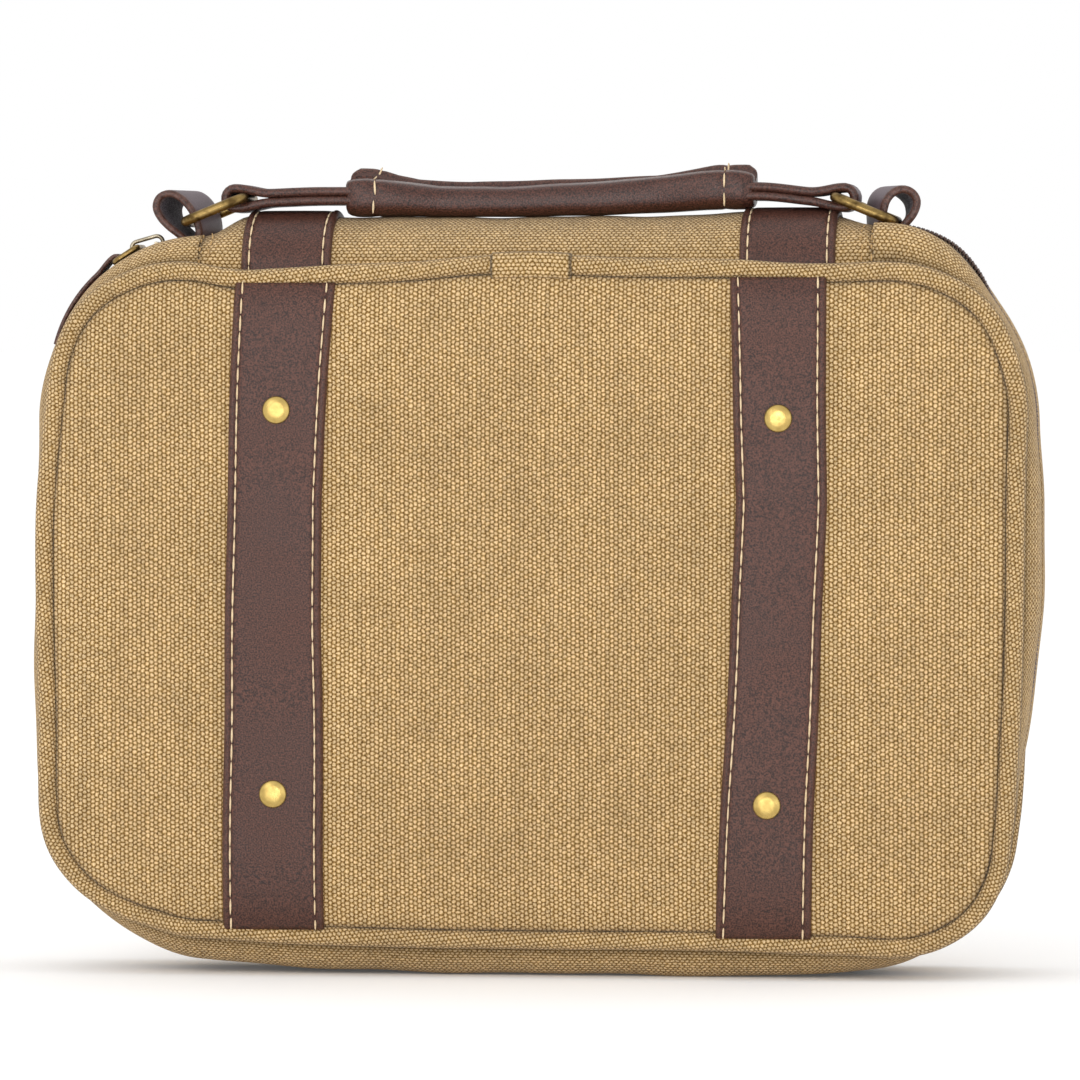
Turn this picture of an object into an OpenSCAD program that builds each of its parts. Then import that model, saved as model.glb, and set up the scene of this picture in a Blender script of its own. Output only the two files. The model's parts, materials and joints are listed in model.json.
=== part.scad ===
// Zip-around canvas case with leather straps and a leather grip.
// The case stands on its curved bottom wall. X runs along the handle, the front face looks to -Y, +Z is up.
// The front half and the back half are mirror images, so each of their pieces is one module.

/* [Case] */
// Width of the seam line round a face
seam_w = 262; // [240:1:300]
// Height of the seam line round a face
seam_h = 181; // [160:1:220]
// Corner radius of the seam line
seam_r = 38; // [34:1:44]
// Distance of each seam from the middle plane
seam_y = 24; // [23:0.5:27]
// How far the side wall swells outward past the seam
crown = 9; // [8.6:0.1:9.4]
// Thickness of the canvas side wall
canvas_t = 1.6; // [1.2:0.1:1.6]
// Thickness of the lining cloth
lining_t = 0.8; // [0.5:0.1:0.8]

/* [Faces] */
// Thickness of the padded face at its middle
face_t = 3.7; // [3:0.1:4.5]
// Width of the rounded border of the padded face
border_w = 25.4; // [20:0.2:27]
// Radius of the piping
piping_r = 3; // [2.8:0.1:3.2]

/* [Leather] */
// Width of a strap
strap_w = 25; // [20:1:28]
// Thickness of a strap
strap_t = 1.5; // [1.2:0.1:1.8]
// Distance of each strap from the middle
strap_x = 68; // [66:1:74]
// Heights of the rivets above the ground
rivet_z = [47, 151];
// Diameter of a rivet cap
rivet_d = 7.6; // [6:0.2:9]

/* [Spine] */
// Rise of the spine above the seam line
spine_rise = 17; // [15:0.5:17]
// Length of the spine
spine_len = 184; // [183:1:184]

/* [Handle] */
// Length of the grip
grip_len = 112; // [100:1:112]
// Height of the grip's underside above the ground
grip_bottom = 208.5; // [208.5:0.5:212]
// Thickness of the wire of the rings and loops' bars
ring_wire = 2.8; // [2.4:0.1:2.8]
// Length of a ring between its two bars
ring_len = 17.2; // [16.8:0.1:17.4]
// Tilt of the rings above level, at rest
ring_tilt = 22; // [20:1:23]

/* [Zip] */
// Spacing of the coil's turns
tooth_pitch = 3; // [2.5:0.1:4]
// Place of the slider on the corner, as an angle from straight up
slider_angle = 16; // [15:1:18]

/* [Hidden] */
$fn = 72;

// Frame of the seam line: corner centres and the heights of its two level runs
corner_x = seam_w / 2 - seam_r;
seam_bottom = crown;
seam_top = seam_bottom + seam_h;
corner_low = seam_bottom + seam_r;
corner_high = seam_top - seam_r;

// Layers at the seam, as distances d from the middle plane and heights n outward from the seam line
crown_d = 16.5; // the side wall is level out to here, and the case stands on it
face_back = seam_y + 1.3;
face_front = face_back + face_t;
lip_t = 0.4;
border_gap = piping_r - 0.1;
seam_allowance = 8.5;
canvas_flange = 1.1;
canvas_edge = 5.6;
flange_d = seam_y - 0.1 - canvas_flange;
rivet_post_r = 1.5;
board_t = 1.5;
board_inset = seam_allowance + 0.8;
binding_t = 0.6;

// Zip: rows of teeth stand apart by the slider's post, and the tape lies under the canvas edge
row_gap = 0.8;
row_w = 2.2;
bead_w = 0.6;
tooth_low = 6.7;
tooth_high = 8.8;
tape_low = 6.8;
tape_high = 7.4;
tape_end = 13;
lining_edge = 7;
zip_start = 8; // angle past the corner's top where the tapes begin
slider_clear = 40; // the front row ends at this angle, so that the front half can fold away from the slider
coil_margin = 3; // angle of bare tape before the first tooth

// Handle hardware
wire_r = ring_wire / 2;
loop_w = 18;
loop_t = 1.9;
loop_r = 6.2;
loop_c = [99.4, 208.2];
loop_foot = [95.2, 198.2];
pivot = [97.5, 206.6];
bar = [pivot[0] - ring_len * cos(ring_tilt), pivot[1] + ring_len * sin(ring_tilt)];
tab_t = 2.2;
notch_x = loop_foot[0] + loop_t + 4;
notch_y = loop_w / 2 + 2.5;
notch_h = 20;

canvas = "#B89A6C";
canvas_dark = "#A58654";
leather = "#5E463F";
lining = "#8A7A60";
brass = "#B89B55";
board = "#6E6A60";
tape = "#4A3A30";
coil = "#3A2C24";
filler = "#E6DCC4";
edging = "#7B6A4C";
rope = "#C9B48A";
steel = "#8C8577";

// ---------- outlines ----------

// Points on an arc round c, from angle a to angle b, in k steps
function arc(c, r, a, b, k = 8) = [for (i = [0:k]) let (t = a + (b - a) * i / k) c + r * [cos(t), sin(t)]];

// Outline of two discs wrapped by one band, from disc (a, ra) to disc (b, rb)
function wrapped(a, ra, b, rb, k = 16) =
    let (v = b - a, lean = atan2(v[1], v[0]), swing = acos((ra - rb) / norm(v)))
    concat(arc(a, ra, lean + swing, lean + 360 - swing, k), arc(b, rb, lean - swing, lean + swing, k));

// Angles on the crown's arc and on the arc round the piping where a wall layer passes from one to the other
function crease(r1, r2) =
    let (gap = seam_y - crown_d, a = (gap * gap + r1 * r1 - r2 * r2) / (2 * gap))
    [asin(a / r1), atan2(a - gap, sqrt(r1 * r1 - a * a))];

// One face of a wall layer as [n, d] points, from the edge at the zip to the end of the seam allowance
function wall_face(r1, r2, edge, flange) =
    let (turn = crease(r1, r2), last = -180 - asin((flange - seam_y) / r2))
    concat([[r1, edge]], arc([0, crown_d], r1, 0, turn[0], 6), arc([0, seam_y], r2, turn[1], last, 12),
        [[-seam_allowance, flange]]);

// The rounded border of the padded face as [n, d] points, from the piping inward
function face_border(k = 8) =
    [for (i = [0:k]) let (t = 90 * i / k)
        [-border_gap - border_w * (1 - cos(t)), face_back + face_t * sin(t)]];

function reversed(list) = [for (i = [len(list) - 1:-1:0]) list[i]];

// Rounded outline of the seam line grown by n
module outline(n) {
    r = seam_r + n;
    for (x = [-1, 1], z = [corner_low, corner_high]) translate([x * corner_x, z]) circle(r);
    translate([-corner_x - r, corner_low]) square([2 * (corner_x + r), corner_high - corner_low]);
    translate([-corner_x, corner_low - r]) square([2 * corner_x, corner_high - corner_low + 2 * r]);
}

// An upright outline given a thickness from d0 to d1 on the front side of the middle plane
module sheet(d0, d1) translate([0, -d0, 0]) rotate([90, 0, 0]) linear_extrude(d1 - d0) children();

// A [n, d] profile carried round one corner, whose outward direction turns from angle a to angle b
module round_corner(x, z, a, b)
    translate([x, 0, z]) rotate([90, 0, 0]) rotate([0, 0, a])
        rotate_extrude(angle = b - a) translate([seam_r, 0]) children();

// A [n, d] profile carried along one straight side, clockwise from the corner centre (x, z)
module along_side(x, z, a, length)
    translate([x, 0, z]) rotate([90, 0, 0]) rotate([0, 0, a]) rotate([90, 0, 0])
        linear_extrude(length) translate([seam_r, 0]) children();

// A [n, d] profile carried round both sides and the bottom, where the zip runs
module round_walls() {
    round_corner(corner_x, corner_high, 0, 90) children();
    along_side(corner_x, corner_high, 0, corner_high - corner_low) children();
    round_corner(corner_x, corner_low, -90, 0) children();
    along_side(corner_x, corner_low, -90, 2 * corner_x) children();
    round_corner(-corner_x, corner_low, -180, -90) children();
    along_side(-corner_x, corner_low, 180, corner_high - corner_low) children();
    round_corner(-corner_x, corner_high, 90, 180) children();
}

// A [n, d] profile carried along the top, where the spine is
module along_top() along_side(-corner_x, corner_high, 90, 2 * corner_x) children();

// The back half is the mirror image of the front half
module placed(side) mirror([0, side == "back" ? 1 : 0, 0]) children();

// ---------- shell pieces, drawn for the front half ----------

// Bores for the four rivets, through d0 to d1
module rivet_bores(r, d0, d1)
    for (x = [-1, 1], z = rivet_z)
        translate([x * strap_x, -d0, z]) rotate([90, 0, 0]) cylinder(d1 - d0, r, r);

module face_profile() {
    border = face_border();
    edge = face_back - 1;
    polygon(concat([[-piping_r - 0.05, edge]], border, [[border[8][0], face_back],
        [-seam_allowance, face_back], [-seam_allowance, edge]]));
}

// Padded canvas face with a rounded border and a flange in the seam
module panel() color(canvas) difference() {
    union() {
        sheet(face_back, face_front) outline(face_border()[8][0]);
        round_walls() face_profile();
        along_top() face_profile();
    }
    rivet_bores(rivet_post_r, face_back - 1, face_front + 1);
}

// Stiffener board, with pockets for the rivets' inner caps
module stiffener() color(board) difference() {
    sheet(face_back - board_t, face_back) outline(-board_inset);
    rivet_bores(rivet_d / 2 + 0.3, face_back - 3, face_back + 1);
}

module face_lining() color(lining)
    sheet(face_back - board_t - lining_t, face_back - board_t) outline(-board_inset);

// Flat pocket sewn to the lining, open along its top edge
module pocket() color(lining) intersection() {
    d = face_back - board_t - lining_t;
    sheet(d - lining_t, d) outline(-board_inset - 6);
    translate([-seam_w / 2, -seam_y, 0]) cube([seam_w, seam_y, 0.55 * seam_h]);
}

// Canvas tube round the filler cord, with its lip in the seam
module piping_profile() {
    difference() {
        translate([0, seam_y]) circle(piping_r, $fn = 32);
        translate([0, seam_y]) circle(piping_r - 1.1, $fn = 32);
    }
    translate([-seam_allowance, seam_y - 0.1]) square([seam_allowance - piping_r + 0.1, lip_t]);
}

module piping() color(canvas_dark) {
    round_walls() piping_profile();
    along_top() piping_profile();
}

module piping_cord() color(filler) {
    round_walls() translate([0, seam_y]) circle(piping_r - 1.2, $fn = 24);
    along_top() translate([0, seam_y]) circle(piping_r - 1.2, $fn = 24);
}

// Room for the tails of the leather loops at both ends of the spine
module loop_notch()
    for (side = [-1, 1]) translate([side * (notch_x + spine_len / 2) / 2, 0, seam_top + notch_h / 2])
        cube([notch_x - spine_len / 2, 2 * notch_y, notch_h], center = true);

// Canvas side wall: from the edge beside the zip, over the crown, round the piping, into the seam
module gusset() color(canvas) difference() {
    round_walls() polygon(concat(
        wall_face(crown, piping_r + 0.1, canvas_edge, seam_y - 0.1),
        reversed(wall_face(crown - canvas_t, piping_r + 1.2, canvas_edge, flange_d))));
    loop_notch();
}

module gusset_lining() color(lining) difference() {
    r = piping_r + 1.25;
    round_walls() polygon(concat(wall_face(tape_low, r, lining_edge, flange_d),
        reversed(wall_face(tape_low - lining_t, r + lining_t, lining_edge, flange_d - lining_t))));
    loop_notch();
}

// Binding folded over the raw edges, with its inner leg at distance leg from the middle plane
module binding_profile(leg) {
    translate([-seam_allowance - binding_t, leg - binding_t])
        square([binding_t, face_back - leg + binding_t]);
    translate([-seam_allowance, leg - binding_t]) square([3, binding_t]);
}

module binding() color(edging) {
    round_walls() binding_profile(flange_d - lining_t);
    along_top() binding_profile(seam_y - 0.1);
}

// Leather strap from piping to piping over the padded face
module strap(x) color(leather) difference() {
    border = face_border();
    upper = [for (i = [1:8]) [seam_top + border[i][0], border[i][1]]];
    lower = [for (i = [8:-1:1]) [seam_bottom - border[i][0], border[i][1]]];
    path = concat(upper, lower);
    translate([x - strap_w / 2, 0, 0]) rotate([0, 0, 180]) rotate([0, -90, 0]) linear_extrude(strap_w)
        polygon(concat([for (p = path) p + [0, strap_t]], reversed(path)));
    rivet_bores(rivet_post_r, face_back, face_front + 3);
}

// Tubular rivets: inner cap, post and a flat-domed outer cap with a bevelled rim
module rivets() color(brass) {
    r = rivet_d / 2;
    top = face_front + strap_t;
    for (x = [-1, 1], z = rivet_z) translate([x * strap_x, 0, z]) rotate([90, 0, 0])
        rotate_extrude($fn = 48) polygon([
            [0, face_back - 0.8], [r, face_back - 0.8], [r, face_back],
            [rivet_post_r, face_back], [rivet_post_r, top],
            [r, top], [r, top + 0.5], [r - 0.6, top + 1], [r - 2, top + 1.3], [0, top + 1.4]]);
}

// ---------- zip ----------

// Outline between heights n0 and n1, without the part above both corners' end angles
module zip_band(n0, n1, left, right) difference() {
    reach = 2 * seam_r;
    outline(n1);
    outline(n0);
    polygon([[corner_x, corner_high], [corner_x + reach * sin(right), corner_high + reach * cos(right)],
        [corner_x + reach, corner_high + 2 * reach], [-corner_x - reach, corner_high + 2 * reach],
        [-corner_x - reach * sin(left), corner_high + reach * cos(left)], [-corner_x, corner_high]]);
}

module zip_tape(left) color(tape)
    sheet(row_gap + row_w, tape_end) zip_band(tape_low, tape_high, left, zip_start);

// Place [x, z, outward direction] at arc length s, clockwise from the right corner, on radius r
function zip_place(s, r, start) = let (
    quarter = r * PI / 2, side = corner_high - corner_low, turn = 180 / PI / r,
    on_side = s - quarter * (1 - start / 90), on_low_right = on_side - side,
    on_bottom = on_low_right - quarter, on_low_left = on_bottom - 2 * corner_x,
    on_left = on_low_left - quarter, on_high_left = on_left - side)
    on_side < 0 ? turned([corner_x, corner_high], r, 90 - start - s * turn) :
    on_low_right < 0 ? [corner_x + r, corner_high - on_side, 0] :
    on_bottom < 0 ? turned([corner_x, corner_low], r, -on_low_right * turn) :
    on_low_left < 0 ? [corner_x - on_bottom, corner_low - r, -90] :
    on_left < 0 ? turned([-corner_x, corner_low], r, -90 - on_low_left * turn) :
    on_high_left < 0 ? [-corner_x - r, corner_low + on_left, 180] :
    turned([-corner_x, corner_high], r, 180 - on_high_left * turn);
function turned(c, r, a) = [c[0] + r * cos(a), c[1] + r * sin(a), a];

// One row of the coil: a tooth per turn, joined along the tape by the bead that is sewn down
module zip_coil(left, phase) color(coil) {
    r = seam_r + (tooth_low + tooth_high) / 2;
    start = zip_start + coil_margin;
    end = left + coil_margin;
    side = corner_high - corner_low;
    length = 2 * side + 2 * corner_x + r * PI * (2 - (end + start) / 180);
    count = floor(length / tooth_pitch) - 1;
    sheet(row_gap, row_gap + row_w - bead_w) for (i = [0:count]) {
        place = zip_place((i + phase) * tooth_pitch, r, start);
        translate([place[0], place[1]]) rotate(place[2])
            square([tooth_high - tooth_low, 0.5 * tooth_pitch], center = true);
    }
    sheet(row_gap + row_w - bead_w, row_gap + row_w) zip_band(tooth_low, tooth_high, end, start);
}

// Small brass clamps at the ends of a row, which keep the slider on
module zip_stops(ends) color(brass) difference() {
    sheet(row_gap, row_gap + row_w + 1.4) for (end = ends) intersection() {
        difference() {
            outline(tooth_high + 0.2);
            outline(tooth_low);
        }
        polygon([for (p = [[0, 0], [2, 0.8], [2, 2]])
            [end[0] * (corner_x + p[0] * seam_r * sin(end[1] + p[1])),
                corner_high + p[0] * seam_r * cos(end[1] + p[1])]]);
    }
    sheet(row_gap + row_w, tape_end) zip_band(tape_low, tape_high, 0, 0);
}

// Puts a piece drawn along +Z at the slider's place on the left corner; its +X looks to the zip's end
module at_slider() translate([-corner_x, 0, corner_high]) rotate([0, -slider_angle, 0]) children();

// Wire bent into a rounded rectangle, with bars along Y at x = 0 and x = length
module wire_ring(length, half, r, bend) {
    for (x = [0, length]) translate([x, 0, 0]) rotate([90, 0, 0])
        cylinder(2 * (half - bend), r, r, center = true, $fn = 24);
    for (y = [-half, half]) translate([bend, y, 0]) rotate([0, 90, 0])
        cylinder(length - 2 * bend, r, r, $fn = 24);
    for (x = [bend, length - bend], y = [-1, 1])
        translate([x, y * (half - bend), 0])
            rotate([0, 0, x < length / 2 ? (y > 0 ? 90 : 180) : (y > 0 ? 0 : 270)])
                rotate_extrude(angle = 90, $fn = 32) translate([bend, 0]) circle(r, $fn = 24);
}

// ---------- spine ----------

spine_level = 82; // the spine is level out to here, and drops to the side wall over the rest
spine_foot = 3;
spine_gap = 0.35;

// Blend from 0 to 1 with level ends
function eased(t) = let (c = min(max(t, 0), 1)) c * c * (3 - 2 * c);

// Arch over the spine as [y, z] points with straight feet beside the piping
function arch(half, rise, p, k = 20) = concat([[-half, -spine_foot]],
    [for (i = [0:k]) let (u = -90 + 180 * i / k)
        [sign(u) * half * pow(abs(sin(u)), 2 / p), rise * pow(max(cos(u), 0), 2 / p)]],
    [[half, -spine_foot]]);

// Shell between two rows of arches; each ring is an outer arch followed by an inner one
module arch_shell(xs, inset, t, low) {
    rings = [for (x = xs) let (
        end = eased((abs(x) - spine_level) / (spine_len / 2 - spine_level)),
        rise = spine_rise + (low - spine_rise) * end - inset,
        half = seam_y - piping_r - spine_gap - inset, p = 2 + 1.2 * end)
        concat([for (q = arch(half, rise, p)) [x, q[0], seam_top + q[1]]],
            [for (q = arch(half - t, rise - t, p)) [x, q[0], seam_top + q[1]]])];
    n = len(rings[0]);
    m = n / 2;
    last = (len(rings) - 1) * n;
    walls = [for (r = [0:len(rings) - 2], i = [0:m - 2]) let (a = r * n + i, b = a + n)
        each [[a, a + 1, b + 1, b], [a + m, b + m, b + m + 1, a + m + 1]]];
    feet = [for (r = [0:len(rings) - 2]) let (a = r * n, b = a + n)
        each [[a, b, b + m, a + m], [b + m - 1, a + m - 1, a + n - 1, b + n - 1]]];
    caps = [for (i = [0:m - 2]) each [
        [i, i + m, i + m + 1, i + 1], [last + i, last + i + 1, last + i + m + 1, last + i + m]]];
    polyhedron([for (r = rings) each r], concat(walls, feet, caps));
}

// Stations along the spine: level in the middle, dropping over the last stretch at each end
spine_stations = concat(
    [for (x = [-spine_len / 2:2:-spine_level]) x],
    [for (x = [spine_level:2:spine_len / 2]) x]);

// Clearance for the keeper that is folded round the front piping
module keeper_notch() translate([-13, -seam_y, seam_top]) rotate([0, 90, 0]) cylinder(26, 4.5, 4.5);

module spine_panel() color(canvas) difference() {
    arch_shell(spine_stations, 0, canvas_t, crown - 0.3);
    keeper_notch();
}

module spine_board() color(board) difference() {
    arch_shell([-80, 80], canvas_t, board_t, crown);
    translate([-90, -seam_y, 0]) cube([180, 2 * seam_y, seam_top + 2]);
    keeper_notch();
}

module spine_lining() color(lining) difference() {
    arch_shell(spine_stations, canvas_t + board_t, lining_t, crown - 0.3);
    keeper_notch();
}

// Short strap piece over the spine
module spine_strap(x) color(leather) translate([x, 0, 0]) intersection() {
    low = 2.8;
    arch_shell([-strap_w / 2, strap_w / 2], -strap_t, strap_t, crown);
    translate([-strap_w / 2, -seam_y, seam_top + low]) cube([strap_w, 2 * seam_y, spine_rise + 3]);
}

// ---------- handle ----------

// Leather folded round a ring's outer bar, with its two tails sewn together at the foot
module loop() color(leather) translate([0, loop_w / 2, 0]) rotate([90, 0, 0]) linear_extrude(loop_w)
    difference() {
        polygon(wrapped(loop_c, loop_r, loop_foot, loop_t));
        polygon(wrapped(loop_c, loop_r - loop_t, loop_c + 0.62 * (loop_foot - loop_c), 0.4));
    }

module handle_ring() color(brass) translate([pivot[0], 0, pivot[1]]) rotate([0, 180 + ring_tilt, 0])
    wire_ring(ring_len, 12, wire_r, 3);

// Folded tab from inside the grip to the ring, opened out round the ring's inner bar
module handle_tab() color(leather)
    translate([0, loop_w / 2, 0]) rotate([90, 0, 0]) linear_extrude(loop_w) difference() {
        eye = [84, bar[1]];
        start = 50;
        taper = 71;
        inner = wire_r + 0.45;
        union() {
            polygon(wrapped(eye, inner + tab_t, [taper, bar[1]], tab_t));
            translate([start, bar[1] - tab_t]) square([taper - start, 2 * tab_t]);
        }
        polygon(wrapped(eye, inner, [taper + 2, bar[1]], 0.3));
    }

// Section of the grip at x as a ring of [x, y, z] points; the rear edge rises into a flap at both ends
function grip_ring(x, k = 28) = let (
    end = eased((abs(x) - 28) / 18), w = 14 + 6 * end, h = 10.6 + 1.2 * end)
    [for (i = [0:k - 1]) let (
        a = 180 - 360 * i / k, c = cos(a), s = sin(a),
        y = w / 2 * sign(c) * pow(abs(c), 0.75), z = h / 2 * (1 + sign(s) * pow(abs(s), 0.75)))
        [x, y, grip_bottom + z + 2.6 * end * max(s, 0) * pow(max(c, 0), 0.4)]];

module grip_wrap() color(leather) difference() {
    k = 28;
    stations = [-56, -55, -52, -46, -40, -34, -28, 28, 34, 40, 46, 52, 55, 56];
    rings = [for (x = stations) grip_ring(x * grip_len / 112)];
    last = (len(rings) - 1) * k;
    polyhedron([for (r = rings) each r], concat(
        [for (r = [0:len(rings) - 2], i = [0:k - 1]) let (a = r * k, j = (i + 1) % k)
            [a + i, a + j, a + k + j, a + k + i]],
        [[for (i = [k - 1:-1:0]) i]], [[for (i = [0:k - 1]) last + i]]));
    grip_bore(50, 3.6);
    for (x = [-1, 1]) translate([x * 54, 0, bar[1]])
        cube([10, loop_w + 0.2, 2 * tab_t + 0.1], center = true);
}

module grip_bore(half, r)
    translate([-half, 0, grip_bottom + 5.2]) rotate([0, 90, 0]) cylinder(2 * half, r, r);

module grip_core() color(rope) grip_bore(48, 3.5);

// ---------- slider and pull ----------

plate_n = [4.6, 9.3]; // heights of the slider's two plates over the seam line
plate_t = 1.1;
lip_n = [6.2, 7.9]; // the plates' lips close in on the rows to these heights
staple_n = 12.7;
staple_r = 0.5;
link_n = 13.025;
link_len = 5.5;
pull_ring_len = 7.3;
pull_drop = 33;
pull_side = 3.7;
pull_bar_r = 0.9;
tab_side = 3.9;
tab_w = 8;
tab_end = 154; // angle round the corner where the tab ends
tab_half = 1.3;
link_end = seam_r + link_n;
ring_near = [-corner_x - link_end * sin(slider_angle) - link_len * cos(slider_angle),
    corner_high + link_end * cos(slider_angle) - link_len * sin(slider_angle)];
ring_far = ring_near - pull_ring_len * [cos(pull_drop), sin(pull_drop)];

module slider_plan() polygon(wrapped([1.2, 0], 4.1, [-1.6, 0], 3.8));

// Two plates joined by the post at the nose, with lips that hold both rows, and the staple for the pull
module zip_slider() color(steel) at_slider() {
    for (n = plate_n) translate([0, 0, seam_r + n]) linear_extrude(plate_t) slider_plan();
    for (n = [[plate_n[0] + plate_t, lip_n[0]], [lip_n[1], plate_n[1]]])
        translate([0, 0, seam_r + n[0]]) linear_extrude(n[1] - n[0]) difference() {
            slider_plan();
            square([20, 6.6], center = true);
        }
    translate([0, 0, seam_r + plate_n[0] + plate_t]) linear_extrude(plate_n[1] - plate_n[0] - plate_t)
        polygon([[4.8, 0], [3.4, 0.5], [1.4, 0], [3.4, -0.5]]);
    translate([0, 0, seam_r + staple_n]) rotate([90, 0, 0])
        cylinder(4.2, staple_r, staple_r, center = true, $fn = 24);
    for (y = [-1.6, 1.6]) translate([0, y, seam_r + plate_n[1] + plate_t])
        cylinder(staple_n - plate_n[1] - plate_t, staple_r, staple_r, $fn = 24);
}

// Long wire link through the staple
module pull_bail() color(brass) at_slider() translate([0, 0, seam_r + link_n]) rotate([90, 0, 0]) {
    r = 0.575;
    bend = 1.725;
    for (z = [-bend, bend]) translate([-link_len, z, 0]) rotate([0, 90, 0])
        cylinder(link_len, r, r, $fn = 24);
    translate([-link_len, 0, 0]) rotate([0, 0, 90]) rotate_extrude(angle = 180, $fn = 48)
        translate([bend, 0]) circle(r, $fn = 24);
    rotate([0, 0, -90]) rotate_extrude(angle = 180, $fn = 48) translate([bend, 0]) circle(r, $fn = 24);
}

module pull_ring() color(brass)
    translate([ring_near[0], pull_side, ring_near[1]]) rotate([0, 180 - pull_drop, 0])
        wire_ring(pull_ring_len, 6.2, pull_bar_r, 1.6);

// Leather tab folded round the ring and lying along the corner
module pull_tab() color(leather) {
    v = ring_far - [-corner_x, corner_high];
    r = norm(v);
    from = atan2(v[1], v[0]);
    translate([0, tab_side + tab_w / 2, 0]) rotate([90, 0, 0]) linear_extrude(tab_w) difference() {
        union() {
            translate(ring_far) circle(2.5, $fn = 32);
            polygon(concat(arc([-corner_x, corner_high], r + tab_half, from, tab_end, 12),
                arc([-corner_x, corner_high], r - tab_half, tab_end, from, 12)));
        }
        translate(ring_far) circle(pull_bar_r + 0.3, $fn = 32);
    }
}

// Canvas keeper folded round the front piping at the middle of the top
module piping_keeper() color(canvas_dark)
    translate([-12, -seam_y, seam_top]) rotate([0, 90, 0]) rotate([0, 0, 45])
        rotate_extrude(angle = 260) translate([piping_r + 0.05, 0]) square([0.95, 23]);

placed("back") panel();  // back_panel
placed("back") stiffener();  // back_board
placed("back") face_lining();  // back_lining
placed("back") piping();  // back_piping
placed("back") piping_cord();  // back_piping_cord
placed("back") gusset();  // back_gusset
placed("back") gusset_lining();  // back_gusset_lining
placed("back") binding();  // back_binding
placed("back") rivets();  // back_rivets
placed("front") panel();  // front_panel
placed("front") stiffener();  // front_board
placed("front") face_lining();  // front_lining
placed("front") piping();  // front_piping
placed("front") piping_cord();  // front_piping_cord
placed("front") gusset();  // front_gusset
placed("front") gusset_lining();  // front_gusset_lining
placed("front") binding();  // front_binding
placed("front") rivets();  // front_rivets
placed("back") pocket();  // back_pocket
placed("back") strap(-strap_x);  // back_strap_left
placed("back") strap(strap_x);  // back_strap_right
placed("front") strap(-strap_x);  // front_strap_left
placed("front") strap(strap_x);  // front_strap_right
placed("back") zip_tape(zip_start);  // back_zip_tape
placed("back") zip_coil(zip_start, 0);  // back_zip_coil
placed("back") zip_stops([[-1, zip_start], [1, zip_start]]);  // back_zip_stops
placed("front") zip_tape(slider_clear);  // front_zip_tape
placed("front") zip_coil(slider_clear, 0.5);  // front_zip_coil
placed("front") zip_stops([[1, zip_start]]);  // front_zip_stops
piping_keeper();
spine_panel();
spine_board();
spine_lining();
spine_strap(-strap_x);  // spine_strap_left
spine_strap(strap_x);  // spine_strap_right
mirror([1, 0, 0]) loop();  // loop_left
loop();  // loop_right
mirror([1, 0, 0]) handle_ring();  // ring_left
handle_ring();  // ring_right
grip_wrap();
grip_core();
mirror([1, 0, 0]) handle_tab();  // handle_tab_left
handle_tab();  // handle_tab_right
zip_slider();
pull_bail();
pull_ring();
pull_tab();
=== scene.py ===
import json
import math

import bmesh
import bpy
import numpy as np
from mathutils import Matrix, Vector


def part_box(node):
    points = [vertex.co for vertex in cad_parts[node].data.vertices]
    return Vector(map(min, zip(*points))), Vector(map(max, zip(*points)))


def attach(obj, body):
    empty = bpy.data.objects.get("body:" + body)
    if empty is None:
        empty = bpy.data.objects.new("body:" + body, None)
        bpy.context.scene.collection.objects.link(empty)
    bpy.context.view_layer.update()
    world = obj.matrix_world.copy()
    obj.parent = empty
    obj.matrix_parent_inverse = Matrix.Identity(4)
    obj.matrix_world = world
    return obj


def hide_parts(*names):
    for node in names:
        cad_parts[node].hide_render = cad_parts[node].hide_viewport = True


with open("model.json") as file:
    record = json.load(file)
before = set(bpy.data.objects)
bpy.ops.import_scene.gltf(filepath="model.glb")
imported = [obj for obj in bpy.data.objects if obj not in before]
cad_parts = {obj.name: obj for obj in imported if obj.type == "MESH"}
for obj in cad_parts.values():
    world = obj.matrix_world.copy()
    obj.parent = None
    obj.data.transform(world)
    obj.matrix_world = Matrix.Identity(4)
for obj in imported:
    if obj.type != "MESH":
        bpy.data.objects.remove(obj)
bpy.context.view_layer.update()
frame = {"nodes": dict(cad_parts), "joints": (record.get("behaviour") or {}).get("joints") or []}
mm = 0.001


# Lowest and highest corner of a node's solid, in millimetres
def boxOf(node):
    low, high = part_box(node)
    return np.array(low) / mm, np.array(high) / mm


# A colour given in parts of 255, as a shader's linear colour
def linear(red, green, blue):
    values = []
    for value in (red, green, blue):
        share = value / 255
        values.append(share / 12.92 if share <= 0.04045 else ((share + 0.055) / 1.055) ** 2.4)
    return (*values, 1.0)


# Node helpers


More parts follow.
